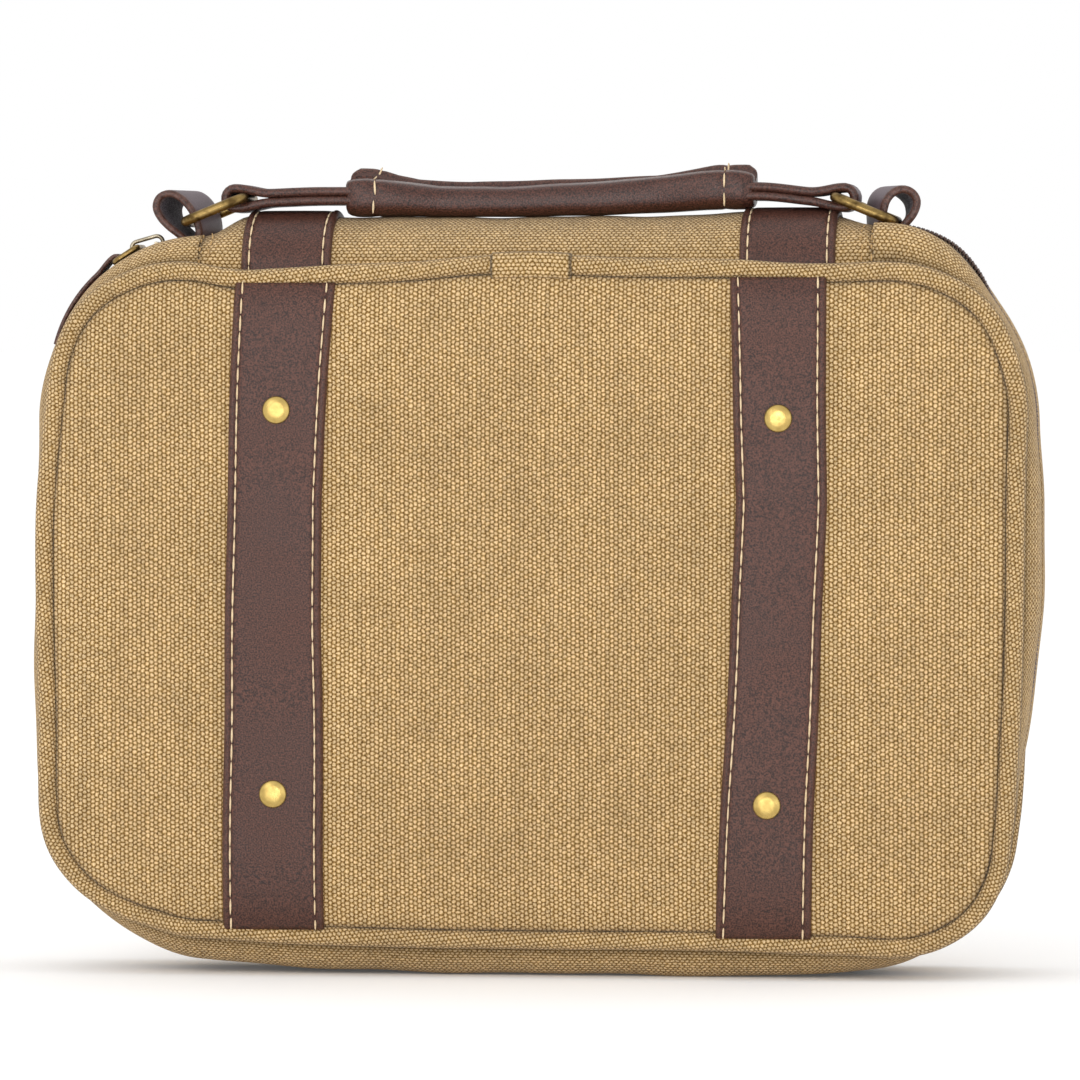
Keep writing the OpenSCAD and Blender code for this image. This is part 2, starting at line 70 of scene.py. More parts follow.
class Graph:
    def __init__(self, tree):
        self.tree = tree

    def node(self, kind, place=(0, 0), **settings):
        made = self.tree.nodes.new(kind)
        made.location = (place[0] * 200, place[1] * -180)
        for name, value in settings.items():
            setattr(made, name, value)
        return made

    def feed(self, socket, value):
        if isinstance(value, bpy.types.NodeSocket):
            self.tree.links.new(value, socket)
        else:
            socket.default_value = value

    def maths(self, operation, first, second=None, place=(0, 0), clamp=False):
        made = self.node("ShaderNodeMath", place, operation=operation, use_clamp=clamp)
        self.feed(made.inputs[0], first)
        if second is not None:
            self.feed(made.inputs[1], second)
        return made.outputs[0]

    def ramp(self, value, stops, place=(0, 0)):
        made = self.node("ShaderNodeValToRGB", place)
        elements = made.color_ramp.elements
        elements[0].position, elements[0].color = stops[0]
        elements[1].position, elements[1].color = stops[-1]
        for position, colour in stops[1:-1]:
            elements.new(position).color = colour
        self.feed(made.inputs[0], value)
        return made.outputs[0]

    def noise(self, vector, scale, detail=2.0, place=(0, 0), dimensions="3D", output=0):
        made = self.node("ShaderNodeTexNoise", place, noise_dimensions=dimensions)
        self.feed(made.inputs["Vector"], vector)
        made.inputs["Scale"].default_value = scale
        made.inputs["Detail"].default_value = detail
        return made.outputs[output]

    # Sockets 6 and 7 of a colour mix hold its two colours, and output 2 the result
    def mix(self, share, first, second, place=(0, 0), blend="MIX"):
        made = self.node("ShaderNodeMix", place, data_type="RGBA", blend_type=blend)
        self.feed(made.inputs[0], share)
        self.feed(made.inputs[6], first)
        self.feed(made.inputs[7], second)
        return made.outputs[2]

    def span(self, value, fromLow, fromHigh, toLow, toHigh, place=(0, 0)):
        made = self.node("ShaderNodeMapRange", place)
        for index, given in enumerate((value, fromLow, fromHigh, toLow, toHigh)):
            self.feed(made.inputs[index], given)
        return made.outputs[0]

    def use(self, group, place=(0, 0), **values):
        made = self.node("ShaderNodeGroup", place)
        made.node_tree = group
        for name, value in values.items():
            self.feed(made.inputs[name.replace("_", " ")], value)
        return made


def shaderGroup(name, inputs, outputs):
    tree = bpy.data.node_groups.new(name, "ShaderNodeTree")
    for label, kind, value in inputs:
        socket = tree.interface.new_socket(label, in_out="INPUT", socket_type=kind)
        if value is not None:
            socket.default_value = value
    for label, kind in outputs:
        tree.interface.new_socket(label, in_out="OUTPUT", socket_type=kind)
    graph = Graph(tree)
    return tree, graph, graph.node("NodeGroupInput", (-8, 0)), graph.node("NodeGroupOutput", (8, 0))


# Shared surface effects

number, colour, vector = "NodeSocketFloat", "NodeSocketColor", "NodeSocketVector"


# Plain-woven canvas: staggered oval crowns, one per crossing, on coordinates in metres
def makeWeave():
    values = {
        "across": 1.17, "along": 1.24, "wobble": 0.14, "wobbleScale": 700, "wide": 0.6, "tall": 0.55,
        "fibre": 0.5,
    }
    tree, graph, given, result = shaderGroup(
        "weave",
        [("Place", vector, None), ("Across", number, values["across"]), ("Along", number, values["along"])],
        [("Height", number), ("Thread", number), ("Cell", number)],
    )
    parts = graph.node("ShaderNodeSeparateXYZ", (-7, 0))
    graph.feed(parts.inputs[0], given.outputs["Place"])
    drift = graph.noise(given.outputs["Place"], values["wobbleScale"], 1.0, (-7, 2), "2D", 1)
    driftParts = graph.node("ShaderNodeSeparateXYZ", (-6, 2))
    graph.feed(driftParts.inputs[0], drift)
    steps = []
    for index, pitch in enumerate(("Across", "Along")):
        count = graph.maths("DIVIDE", parts.outputs[index], graph.maths("MULTIPLY", given.outputs[pitch], mm))
        shift = graph.maths("SUBTRACT", driftParts.outputs[index], 0.5)
        steps.append(graph.maths("ADD", count, graph.maths("MULTIPLY", shift, values["wobble"] * 4)))
    x, z = steps
    acrossEven, alongEven = graph.maths("PINGPONG", x, 1.0), graph.maths("PINGPONG", z, 0.5)
    acrossOdd, alongOdd = graph.maths("SUBTRACT", 1.0, acrossEven), graph.maths("SUBTRACT", 0.5, alongEven)

    # One over the lattice's crown, falling off as an ellipse
    def crown(across, along):
        across = graph.maths("POWER", graph.maths("DIVIDE", across, values["wide"]), 2.0)
        along = graph.maths("POWER", graph.maths("DIVIDE", along, values["tall"]), 2.0)
        return graph.maths("SUBTRACT", 1.0, graph.maths("ADD", across, along))

    even, odd = crown(acrossEven, alongEven), crown(acrossOdd, alongOdd)
    fibre = graph.maths("SUBTRACT", graph.noise(given.outputs["Place"], 3400.0, 1.0, (-5, 5), "2D"), 0.5)
    height = graph.maths(
        "ADD",
        graph.maths("MAXIMUM", even, odd),
        graph.maths("MULTIPLY", fibre, values["fibre"] * 2),
        clamp=True,
    )
    isOdd = graph.maths("GREATER_THAN", odd, even)
    half = graph.maths("MULTIPLY", isOdd, 0.5)
    pair = graph.maths("ROUND", graph.maths("SUBTRACT", graph.maths("MULTIPLY", x, 0.5), half))
    column = graph.maths("ADD", graph.maths("MULTIPLY", pair, 2.0), isOdd)
    row = graph.maths("ROUND", graph.maths("SUBTRACT", z, half))
    cell = graph.node("ShaderNodeCombineXYZ", (4, 2))
    graph.feed(cell.inputs[0], column)
    graph.feed(cell.inputs[1], row)
    speckle = graph.node("ShaderNodeTexWhiteNoise", (5, 2), noise_dimensions="2D")
    graph.feed(speckle.inputs["Vector"], cell.outputs[0])
    warp = graph.node("ShaderNodeTexWhiteNoise", (5, 3), noise_dimensions="1D")
    graph.feed(warp.inputs["W"], column)
    graph.feed(result.inputs["Height"], height)
    graph.feed(result.inputs["Thread"], warp.outputs["Value"])
    graph.feed(result.inputs["Cell"], speckle.outputs["Value"])
    return tree


# Pebbled leather grain: soft cells with fine pits, on object coordinates in metres
def makeGrain():
    tree, graph, given, result = shaderGroup(
        "grain",
        [("Place", vector, None), ("Scale", number, 1150.0)],
        [("Height", number), ("Mottle", number), ("Speckle", number)],
    )
    cells = graph.node("ShaderNodeTexVoronoi", (-5, 0), feature="SMOOTH_F1")
    graph.feed(cells.inputs["Vector"], given.outputs["Place"])
    graph.feed(cells.inputs["Scale"], given.outputs["Scale"])
    cells.inputs["Smoothness"].default_value = 0.6
    broad = graph.noise(given.outputs["Place"], 45.0, 3.0, (-5, 2))
    fine = graph.noise(given.outputs["Place"], 2600.0, 2.0, (-5, 3))
    height = graph.maths(
        "ADD", graph.maths("MULTIPLY", cells.outputs["Distance"], 0.8), graph.maths("MULTIPLY", fine, 0.35),
    )
    graph.feed(result.inputs["Height"], height)
    graph.feed(result.inputs["Speckle"], graph.noise(given.outputs["Place"], 2300.0, 1.0, (-5, 4)))
    graph.feed(
        result.inputs["Mottle"],
        graph.maths("ADD", graph.maths("MULTIPLY", broad, 0.65), graph.maths("MULTIPLY", fine, 0.35)),
    )
    return tree


# Rubbed edges: blends a worn tone in where the mesh is marked as edge, broken up by noise
def makeWear():
    tree, graph, given, result = shaderGroup(
        "wear_and_shade",
        [("Colour", colour, None), ("Worn", colour, None), ("Place", vector, None), ("Amount", number, 0.6)],
        [("Colour", colour), ("Share", number)],
    )
    mark = graph.node("ShaderNodeAttribute", (-5, 0), attribute_name="wear_and_shade")
    broken = graph.noise(given.outputs["Place"], 700.0, 4.0, (-5, 2))
    share = graph.maths("MULTIPLY", graph.span(broken, 0.35, 0.62, 0.0, 1.0, (-3, 2)), mark.outputs["Fac"])
    share = graph.maths("MULTIPLY", share, given.outputs["Amount"], clamp=True)
    blended = graph.mix(share, given.outputs["Colour"], given.outputs["Worn"], (2, 0))
    graph.feed(result.inputs["Colour"], blended)
    graph.feed(result.inputs["Share"], share)
    return tree


weaveGroup, grainGroup, wearGroup = makeWeave(), makeGrain(), makeWear()

# Materials


def newMaterial(name):
    material = bpy.data.materials.new(name)
    material.use_nodes = True
    graph = Graph(material.node_tree)
    shader = material.node_tree.nodes["Principled BSDF"]
    return material, graph, shader


def bumpInto(graph, shader, height, strength, distance):
    made = graph.node("ShaderNodeBump", (4, -3))
    made.inputs["Strength"].default_value = strength
    made.inputs["Distance"].default_value = distance
    graph.feed(made.inputs["Height"], height)
    graph.feed(shader.inputs["Normal"], made.outputs[0])


# Canvas cloth. tone scales the whole cloth, turn rotates the weave for cloth cut on the bias
def canvasMaterial(name, tone=1.0, turn=0.0, across=1.17, along=1.24):
    values = {"roughness": 0.92, "sheen": 0.12, "bump": 0.55, "depth": 0.0006}
    material, graph, shader = newMaterial(name)
    layer = graph.node("ShaderNodeUVMap", (-12, 0), uv_map="weave")
    place = layer.outputs[0]
    if turn:
        turned = graph.node("ShaderNodeVectorRotate", (-11, 0), rotation_type="Z_AXIS")
        graph.feed(turned.inputs["Vector"], place)
        turned.inputs["Angle"].default_value = math.radians(turn)
        place = turned.outputs[0]
    coords = graph.node("ShaderNodeTexCoord", (-12, 3)).outputs["Object"]
    weave = graph.use(weaveGroup, (-9, 0), Place=place, Across=across, Along=along)
    height = weave.outputs["Height"]
    # The thread's own colour by thread height, with painted shade in the gaps between threads and painted
    # highlight on their crowns
    tones = [
        (0.0, linear(84, 54, 12)),
        (0.2, linear(122, 89, 36)),
        (0.42, linear(163, 129, 73)),
        (0.65, linear(191, 159, 109)),
        (0.95, linear(223, 194, 150)),
    ]
    cloth = graph.ramp(graph.span(height, 0.0, 1.0, 0.0, 1.0), tones, (-6, 0))
    cell = graph.span(weave.outputs["Cell"], 0.0, 1.0, 0.88, 1.1)
    thread = graph.span(weave.outputs["Thread"], 0.0, 1.0, 0.94, 1.05)
    patch = graph.span(graph.noise(coords, 32.0, 3.0, (-9, 4)), 0.3, 0.7, 0.93, 1.06)
    fade = graph.span(graph.noise(coords, 150.0, 2.0, (-9, 5)), 0.3, 0.7, 0.955, 1.045)
    shade = graph.maths(
        "MULTIPLY", graph.maths("MULTIPLY", cell, thread), graph.maths("MULTIPLY", patch, fade),
    )
    shade = graph.maths("MULTIPLY", shade, tone)
    # Painted shade: the mesh's mark darkens the canvas in creases, at seams and round the keeper, down to 0.3
    # of its colour
    mark = graph.node("ShaderNodeAttribute", (-6, 4), attribute_name="wear_and_shade")
    shade = graph.maths("MULTIPLY", shade, graph.span(mark.outputs["Fac"], 0.0, 1.0, 1.0, 0.3))
    tint = graph.node("ShaderNodeCombineColor", (-3, 2))
    for socket in tint.inputs:
        graph.feed(socket, shade)
    graph.feed(shader.inputs["Base Color"], graph.mix(1.0, cloth, tint.outputs[0], (0, 0), "MULTIPLY"))
    shader.inputs["Roughness"].default_value = values["roughness"]
    shader.inputs["Sheen Weight"].default_value = values["sheen"]
    shader.inputs["Sheen Roughness"].default_value = 0.6
    shader.inputs["Specular IOR Level"].default_value = 0.25
    fuzz = graph.noise(coords, 1900.0, 2.0, (-9, 6))
    relief = graph.maths("ADD", height, graph.maths("MULTIPLY", fuzz, 0.35))
    bumpInto(graph, shader, relief, values["bump"], values["depth"])
    return material


def leatherMaterial(name, base, deep, worn, gloss=0.46, grain=1800.0, relief=0.35, wearAmount=0.6, pit=0.7):
    material, graph, shader = newMaterial(name)
    coords = graph.node("ShaderNodeTexCoord", (-12, 0)).outputs["Object"]
    skin = graph.use(grainGroup, (-9, 0), Place=coords, Scale=grain)
    tone = graph.mix(graph.span(skin.outputs["Mottle"], 0.32, 0.68, 0.3, 0.9), deep, base, (-5, 0))
    pits = graph.span(skin.outputs["Speckle"], 0.34, 0.66, 1 - pit, 1 + pit)
    shade = graph.node("ShaderNodeCombineColor", (-4, 2))
    for socket in shade.inputs:
        graph.feed(socket, pits)
    tone = graph.mix(1.0, tone, shade.outputs[0], (-3, 0), "MULTIPLY")
    rubbed = graph.use(wearGroup, (-1, 0), Colour=tone, Worn=worn, Place=coords, Amount=wearAmount)
    graph.feed(shader.inputs["Base Color"], rubbed.outputs["Colour"])
    sheen = graph.span(skin.outputs["Mottle"], 0.3, 0.7, gloss - 0.06, gloss + 0.08)
    graph.feed(
        shader.inputs["Roughness"],
        graph.maths("SUBTRACT", sheen, graph.maths("MULTIPLY", rubbed.outputs["Share"], 0.1)),
    )
    shader.inputs["Specular IOR Level"].default_value = 0.38
    bumpInto(graph, shader, skin.outputs["Height"], relief, 0.00022)
    return material


def metalMaterial(name, base, deep, roughness, patina):
    material, graph, shader = newMaterial(name)
    coords = graph.node("ShaderNodeTexCoord", (-12, 0)).outputs["Object"]
    blotch = graph.noise(coords, 420.0, 4.0, (-9, 0))
    scratch = graph.noise(coords, 3200.0, 2.0, (-9, 2))
    share = graph.maths("MULTIPLY", graph.span(blotch, 0.42, 0.66, 0.0, 1.0), patina)
    graph.feed(shader.inputs["Base Color"], graph.mix(share, base, deep, (-4, 0)))
    rough = graph.maths(
        "ADD",
        graph.span(blotch, 0.3, 0.7, roughness - 0.05, roughness + 0.12),
        graph.span(scratch, 0.4, 0.6, -0.03, 0.03),
    )
    graph.feed(shader.inputs["Roughness"], rough)
    shader.inputs["Metallic"].default_value = 1.0
    bumpInto(graph, shader, graph.maths("ADD", blotch, graph.maths("MULTIPLY", scratch, 0.4)), 0.12, 0.00012)
    return material


# Thread, tape and other plain textiles: a fine rib along the object's own coordinates
def clothMaterial(name, base, deep, scale, roughness=0.85, rib=0.3):
    material, graph, shader = newMaterial(name)
    coords = graph.node("ShaderNodeTexCoord", (-12, 0)).outputs["Object"]
    fibre = graph.noise(coords, scale, 3.0, (-9, 0))
    blotch = graph.noise(coords, 60.0, 2.0, (-9, 2))
    share = graph.maths("ADD", graph.maths("MULTIPLY", fibre, 0.7), graph.maths("MULTIPLY", blotch, 0.3))
    graph.feed(
        shader.inputs["Base Color"], graph.mix(graph.span(share, 0.35, 0.65, 0.0, 1.0), deep, base, (-4, 0)),
    )
    graph.feed(shader.inputs["Roughness"], graph.span(fibre, 0.3, 0.7, roughness - 0.06, roughness + 0.06))
    shader.inputs["Sheen Weight"].default_value = 0.1
    shader.inputs["Specular IOR Level"].default_value = 0.3
    bumpInto(graph, shader, fibre, rib, 0.00018)
    return material


look = {
    "canvas": canvasMaterial("canvas"),
    "side": canvasMaterial("canvas_side", tone=0.97, turn=90, across=1.06, along=1.34),
    "bias": canvasMaterial("canvas_bias", tone=0.94, turn=38, across=1.04, along=1.24),
    "spine": canvasMaterial("canvas_spine", tone=0.93, turn=90, across=1.02, along=1.34),
    "lining": clothMaterial("lining", linear(158, 142, 112), linear(132, 117, 90), 2400.0),
    "leather": leatherMaterial(
        "leather", linear(78, 47, 37), linear(63, 36, 28), linear(104, 76, 66), wearAmount=0.35,
    ),
    "grip": leatherMaterial(
        "leather_grip", linear(73, 43, 34), linear(57, 31, 25), linear(122, 94, 84), gloss=0.36,
        wearAmount=0.4,
    ),
    # Smooth outer faces of the loops and tabs: grey brown leather with a painted lilac reflection of the sky
    "painted_sheen": leatherMaterial(
        "leather_sheen", linear(102, 86, 92), linear(74, 59, 64), linear(96, 72, 66), gloss=0.5, grain=900.0,
        relief=0.14, wearAmount=0.5, pit=0.2,
    ),
    "suede": leatherMaterial(
        "leather_back", linear(104, 98, 104), linear(56, 50, 54), linear(110, 84, 74), gloss=0.78,
        grain=1700.0, relief=0.7,
    ),
    "rivet": metalMaterial("brass", linear(202, 174, 104), linear(152, 124, 66), 0.3, 0.4),
    "antique": metalMaterial("antique_brass", linear(142, 118, 72), linear(66, 49, 26), 0.34, 0.85),
    "zipMetal": metalMaterial("zip_metal", linear(168, 158, 138), linear(96, 84, 66), 0.3, 0.6),
    "coil": clothMaterial("zip_coil", linear(104, 78, 66), linear(62, 43, 36), 2600.0, 0.5),
    "tape": clothMaterial("zip_tape", linear(86, 68, 55), linear(58, 44, 35), 2600.0),
    "thread": clothMaterial("thread", linear(238, 216, 180), linear(206, 178, 136), 3400.0),
    "hole": clothMaterial("stitch_hole", linear(62, 42, 36), linear(44, 29, 25), 2400.0),
    "fine": clothMaterial("fine_thread", linear(204, 170, 118), linear(150, 116, 70), 3400.0),
    "board": clothMaterial("board", linear(120, 112, 98), linear(100, 92, 80), 900.0),
}
print("materials made:", len(look))

# Mesh helpers


def added(name, data):
    thing = bpy.data.objects.new(name, data)
    bpy.context.scene.collection.objects.link(thing)
    return thing


# The shape's points and faces as a smooth mesh in metres
def meshOf(shape, name):
    mesh = bpy.data.meshes.new(name)
    mesh.from_pydata((np.array(shape.vertices) * mm).tolist(), [], shape.faces)
    mesh.polygons.foreach_set("use_smooth", [True] * len(shape.faces))
    return mesh


def faceOutward(mesh):
    work = bmesh.new()
    work.from_mesh(mesh)
    bmesh.ops.recalc_face_normals(work, faces=work.faces)
    work.to_mesh(mesh)
    work.free()


class Shape:
    def __init__(self):
        self.vertices, self.faces, self.corners, self.marks, self.kinds = [], [], [], [], []

    # A tube through rows of points, closed at both ends or joined to a loop. Its uv has one more row and
    # column
    def surface(self, rows, loop=False, uv=None, wear_and_shade=None, kind=0):
        rows = np.asarray(rows, float)
        count, columns = rows.shape[:2]
        base = len(self.vertices)
        self.vertices.extend(rows.reshape(-1, 3).tolist())
        wear_and_shade = np.zeros(count * columns) if wear_and_shade is None else np.asarray(wear_and_shade, float)
        self.marks.extend(wear_and_shade.reshape(-1).tolist())
        if uv is None:
            uv = rows[:, :, [0, 2]] * mm
            uv = np.concatenate([uv, uv[:, :1]], axis=1)
            uv = np.concatenate([uv, uv[:1]], axis=0)
        for row in range(count if loop else count - 1):
            for column in range(columns):
                places = ((row, column), (row, column + 1), (row + 1, column + 1), (row + 1, column))
                self.faces.append([base + (r % count) * columns + c % columns for r, c in places])
                self.corners.extend(uv[r][c] for r, c in places)
                self.kinds.append(kind[column] if hasattr(kind, "__len__") else kind)
        if not loop:
            for row in (0, count - 1):
                order = range(columns - 1, -1, -1) if row == 0 else range(columns)
                self.faces.append([base + row * columns + c for c in order])
                self.corners.extend(uv[row][c] for c in order)
                self.kinds.append(kind[0] if hasattr(kind, "__len__") else kind)
        return self

    def done(self, name, body, materials, replaced=()):
        mesh = meshOf(self, name)
        layer = mesh.uv_layers.new(name="weave")
        layer.data.foreach_set("uv", np.array(self.corners, np.float32).reshape(-1))
        # The mark per point: rubbed edge wear on leather, painted shade in creases on canvas
        mark = mesh.attributes.new("wear_and_shade", "FLOAT", "POINT")
        mark.data.foreach_set("value", np.array(self.marks, np.float32))
        mesh.polygons.foreach_set("material_index", self.kinds)
        for material in materials:
            mesh.materials.append(look[material])
        faceOutward(mesh)
        return settle(added(name, mesh), body, replaced)


def settle(piece, body, replaced=()):
    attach(piece, body)
    if replaced:
        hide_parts(*replaced)
    return piece


def lerp(low, high, share):
    return low + (high - low) * share


def eased(share):
    share = np.clip(share, 0, 1)
    return share * share * (3 - 2 * share)


# A swell that is one at the middle and has almost gone two widths away
def bell(value, middle, width):
    return math.exp(-(((value - middle) / width) ** 2))


# How far a round shoulder has dropped, as a share: one at its very end and none from share one inward
def shoulder(share):
    return 1 - math.sqrt(max(0.0, 1 - (1 - min(share, 1.0)) ** 2))


# Length along a line at each of its points
def reachOf(line):
    return np.concatenate([[0], np.cumsum(np.linalg.norm(np.diff(line, axis=0), axis=1))])


# Unit directions to the left of a flat line, at each of its points
def leftOf(line):
    way = np.gradient(line, axis=0)
    way /= np.linalg.norm(way, axis=1)[:, None]
    return np.stack([-way[:, 1], way[:, 0]], axis=1)


# Smooth closed curve through (angle, value) pairs, by cubic pieces with level-headed slopes
def ringCurve(pairs):
    pairs = sorted(pairs)
    angles = np.array([a for a, _ in pairs], float)
    values = np.array([v for _, v in pairs], float)
    spread = np.concatenate([angles[-2:] - 360, angles, angles[:2] + 360])
    heights = np.concatenate([values[-2:], values, values[:2]])
    slopes = np.gradient(heights, spread)

    def at(angle):
        angle = np.mod(angle, 360)
        i = np.clip(np.searchsorted(spread, angle) - 1, 0, len(spread) - 2)
        gap = spread[i + 1] - spread[i]
        t = (angle - spread[i]) / gap
        return (
            (2 * t**3 - 3 * t**2 + 1) * heights[i]
            + (t**3 - 2 * t**2 + t) * gap * slopes[i]
            + (3 * t**2 - 2 * t**3) * heights[i + 1]
            + (t**3 - t**2) * gap * slopes[i + 1]
        )

    return at


# Seam path

pipeLow, pipeHigh = boxOf("front_piping")
case = {"tube": 3.0, "radius": 38.0, "step": 2.0}
case["depth"] = -(pipeLow[1] + case["tube"])
case["half"] = pipeHigh[0] - case["tube"] - case["radius"]
case["low"] = pipeLow[2] + case["tube"] + case["radius"]
case["high"] = pipeHigh[2] - case["tube"] - case["radius"]
case["middle"] = (case["low"] + case["high"]) / 2
# How far the sewn seam strays outward from its even line, by angle round the face from the right
strayAt = ringCurve([
    (0, 0.2), (21.8, 1.1), (28.3, 2.2), (33.5, 4.2), (38.6, 3.8), (44.2, 2.6), (48, 2.2), (52.3, 2.4),
    (57.8, 3.3), (66, 3.5), (78, 3.9), (90, 4.8), (101, 4.1), (110, 2.7), (121, 1.8), (127.7, 1.0),
    (132, 0.7),
    (136, 2.7), (141.4, 4.1), (146.5, 4.4), (151.7, 2.4), (156, 0.7), (160, 1.5), (166, 2.9), (180, 3.3),
    (192, 2.7),
    (201.8, 2.6), (206, 2.1), (211, -0.2), (215.5, -2.8), (220, -4.5), (224.2, -3.8), (232.3, -2.6),
    (246, -1.8), (270, -1.5),
    (307.7, -1.0), (315.8, -0.2), (321.4, 1.6), (326.5, 1.7), (330.5, 0.1), (335, -2.0), (341, -1.6),
    (350, -0.4),
])
# How far the side wall swells past the even seam line
crownAt = ringCurve([
    (0, 6.7), (12, 6.8), (20.8, 6.0), (27, 6.0), (31.2, 7.0), (34.2, 8.5), (36.6, 10.8), (39.2, 13.6),
    (42, 15.6),
    (44.8, 16.0), (48, 15.6), (60, 14.2), (120, 12.8), (135.8, 12.9), (139, 12.4), (142.2, 11.0),
    (147.5, 8.5),
    (151.7, 6.9), (158.2, 6.2), (166, 7.2), (180, 7.8), (192, 7.6), (201.8, 6.4),
    (208.3, 4.6), (213.5, 2.8), (218.6, 3.0), (224.2, 5.0), (232.3, 7.4), (246, 8.2), (270, 8.5),
    (307.7, 8.1), (315.8, 6.8), (321.4, 3.4), (326.5, 0.3), (331.7, -1.6), (336, -2.0), (341, 0.6),
    (346, 3.0), (353, 5.4),
])


# Place [x, z, outward x, outward z] on the even seam line, s millimetres clockwise from the top middle
def evenSeam(s):
    half, radius = case["half"], case["radius"]
    quarter, side = radius * math.pi / 2, case["high"] - case["low"]
    runs = [
        ("line", half, (0, case["high"] + radius), (1, 0), (0, 1)),
        ("turn", quarter, (half, case["high"]), 90, None),
        ("line", side, (half + radius, case["high"]), (0, -1), (1, 0)),
        ("turn", quarter, (half, case["low"]), 0, None),
        ("line", 2 * half, (half, case["low"] - radius), (-1, 0), (0, -1)),
        ("turn", quarter, (-half, case["low"]), -90, None),
        ("line", side, (-half - radius, case["low"]), (0, 1), (-1, 0)),
        ("turn", quarter, (-half, case["high"]), 180, None),
        ("line", half, (-half, case["high"] + radius), (1, 0), (0, 1)),
    ]
    for kind, length, start, way, out in runs:
        if s <= length or kind == "line" and out == (0, 1) and start[0] < 0:
            if kind == "line":
                return start[0] + way[0] * s, start[1] + way[1] * s, out[0], out[1]
            angle = math.radians(way) - s / radius
            x, z = math.cos(angle), math.sin(angle)
            return start[0] + radius * x, start[1] + radius * z, x, z
        s -= length


case["length"] = 4 * case["half"] + 2 * (case["high"] - case["low"]) + 2 * math.pi * case["radius"]


# Samples of the seam from s = start to s = end: even place, outward direction, stray and crown
def seamRun(start, end, step=None, shut=False):
    count = int(round((end - start) / (step or case["step"])))
    s = np.linspace(start, end, count + 1)
    if shut:
        s = s[:-1]
    places = np.array([evenSeam(v % case["length"]) for v in s])
    angle = np.degrees(np.arctan2(places[:, 1] - case["middle"], places[:, 0]))
    return {
        "s": s, "place": places[:, :2], "out": places[:, 2:], "angle": angle, "stray": strayAt(angle),
        "crown": crownAt(angle),
    }


# Rows of points from [n, d] sections: n outward from the even seam line, d toward the front face
def carried(run, sections, side):
    rows = []
    for place, out, section in zip(run["place"], run["out"], sections):
        section = np.asarray(section)
        xz = place[None, :] + out[None, :] * section[:, :1]
        rows.append(np.stack([xz[:, 0], -side * section[:, 1], xz[:, 1]], axis=1))
    return np.array(rows)


# Texture coordinates in metres: along the rows by the measured column, and across by the section's length
def lengthUv(rows, section, shut=False, measured=0):
    section = np.asarray(section)
    step = reachOf(section)
    step = np.append(step, step[-1] + np.linalg.norm(section[0] - section[-1]))
    line = rows[:, measured]
    line = np.concatenate([line, line[:1]]) if shut else line
    grid = np.stack(np.meshgrid(reachOf(line), step, indexing="ij"), axis=2)
    return grid * mm


# Padded faces

face = {
    "back": case["depth"] + 1.3, "gap": 2.55, "border": 24.0, "puff": 2.4, "rounds": 13, "inner": 10,
    "thick": -boxOf("front_panel")[0][1] - case["depth"] - 1.3,
}


# Slow waves of the padding
def ripple(x, z):
    return (
        0.22 * math.sin(x / 29 + 1.3) * math.sin(z / 23 + 0.4)
        + 0.14 * math.sin(x / 13 + z / 19 + 0.8)
        + 0.07 * math.sin(x / 6.1 - z / 7.3)
    )


# Height of the padded face over its back plane, n millimetres in from the seam's even line
def faceRise(inward, x=0.0, z=0.0):
    share = min(max((inward - face["gap"]) / face["border"], 0.0), 1.0)
    rise = face["thick"] * (1 - (1 - share) ** face["puff"]) ** (1 / face["puff"])
    return rise + ripple(x, z) * share


wholeRun = seamRun(0, case["length"], shut=True)
seamLine = wholeRun["place"] + wholeRun["out"] * wholeRun["stray"][:, None]


# Distance of (x, z) in from the sewn seam
def inwardOf(x, z):
    return float(np.min(np.hypot(seamLine[:, 0] - x, seamLine[:, 1] - z)))


# Distance of the padded face from the middle plane
def surfaceAt(x, z):
    return face["back"] + faceRise(inwardOf(x, z), x, z)


def makePanel(side, body, name, node):
    shape = Shape()
    rows = []
    steps = [
        face["gap"] + (face["border"] + 2) * (i / face["rounds"]) ** 1.7 for i in range(face["rounds"] + 1)
    ]
    for inward in steps:
        xz = seamLine - wholeRun["out"] * inward
        pucker = 0.14 * np.sin(wholeRun["s"] / 2.9 + 2 * np.sin(wholeRun["s"] / 31)) * bell(inward, 5, 3.5)
        y = [face["back"] + faceRise(inward, x, z) + p for (x, z), p in zip(xz, pucker)]
        rows.append(np.stack([xz[:, 0], -side * np.array(y), xz[:, 1]], axis=1))
    last, centre = rows[-1], np.array([0.0, 0.0, case["middle"]])
    for i in range(1, face["inner"] + 1):
        share = 1 - 0.975 * i / face["inner"]
        ring = centre + (last - centre) * share
        ring[:, 1] = [-side * (face["back"] + faceRise(99, x, z)) for x, _, z in ring]
        rows.append(ring)
    back = rows[0].copy()
    back[:, 1] = -side * face["back"]
    tuck = back.copy()
    tuck[:, [0, 2]] -= wholeRun["out"] * 5
    rows = [tuck, back] + rows
    # Painted shade: the tuck, the back row and the first rows in from the seam are marked dark, for the
    # crease where the face meets the piping
    dark = [1.0, 1.0, 0.9, 0.4, 0.1] + [0.0] * (len(rows) - 5)
    shape.surface(rows, wear_and_shade=np.repeat(dark, len(tuck)))
    piece = shape.done(name, body, ["canvas"], [node])
    return piece


covers = {"front": (1, "front_cover"), "back": (-1, "back_cover")}
for part, (side, body) in covers.items():
    makePanel(side, body, part + "_face", part + "_panel")
print("faces made")

# Piping

welt = {"radius": 2.75, "sides": 32, "waver": 0.05, "crease": 15}


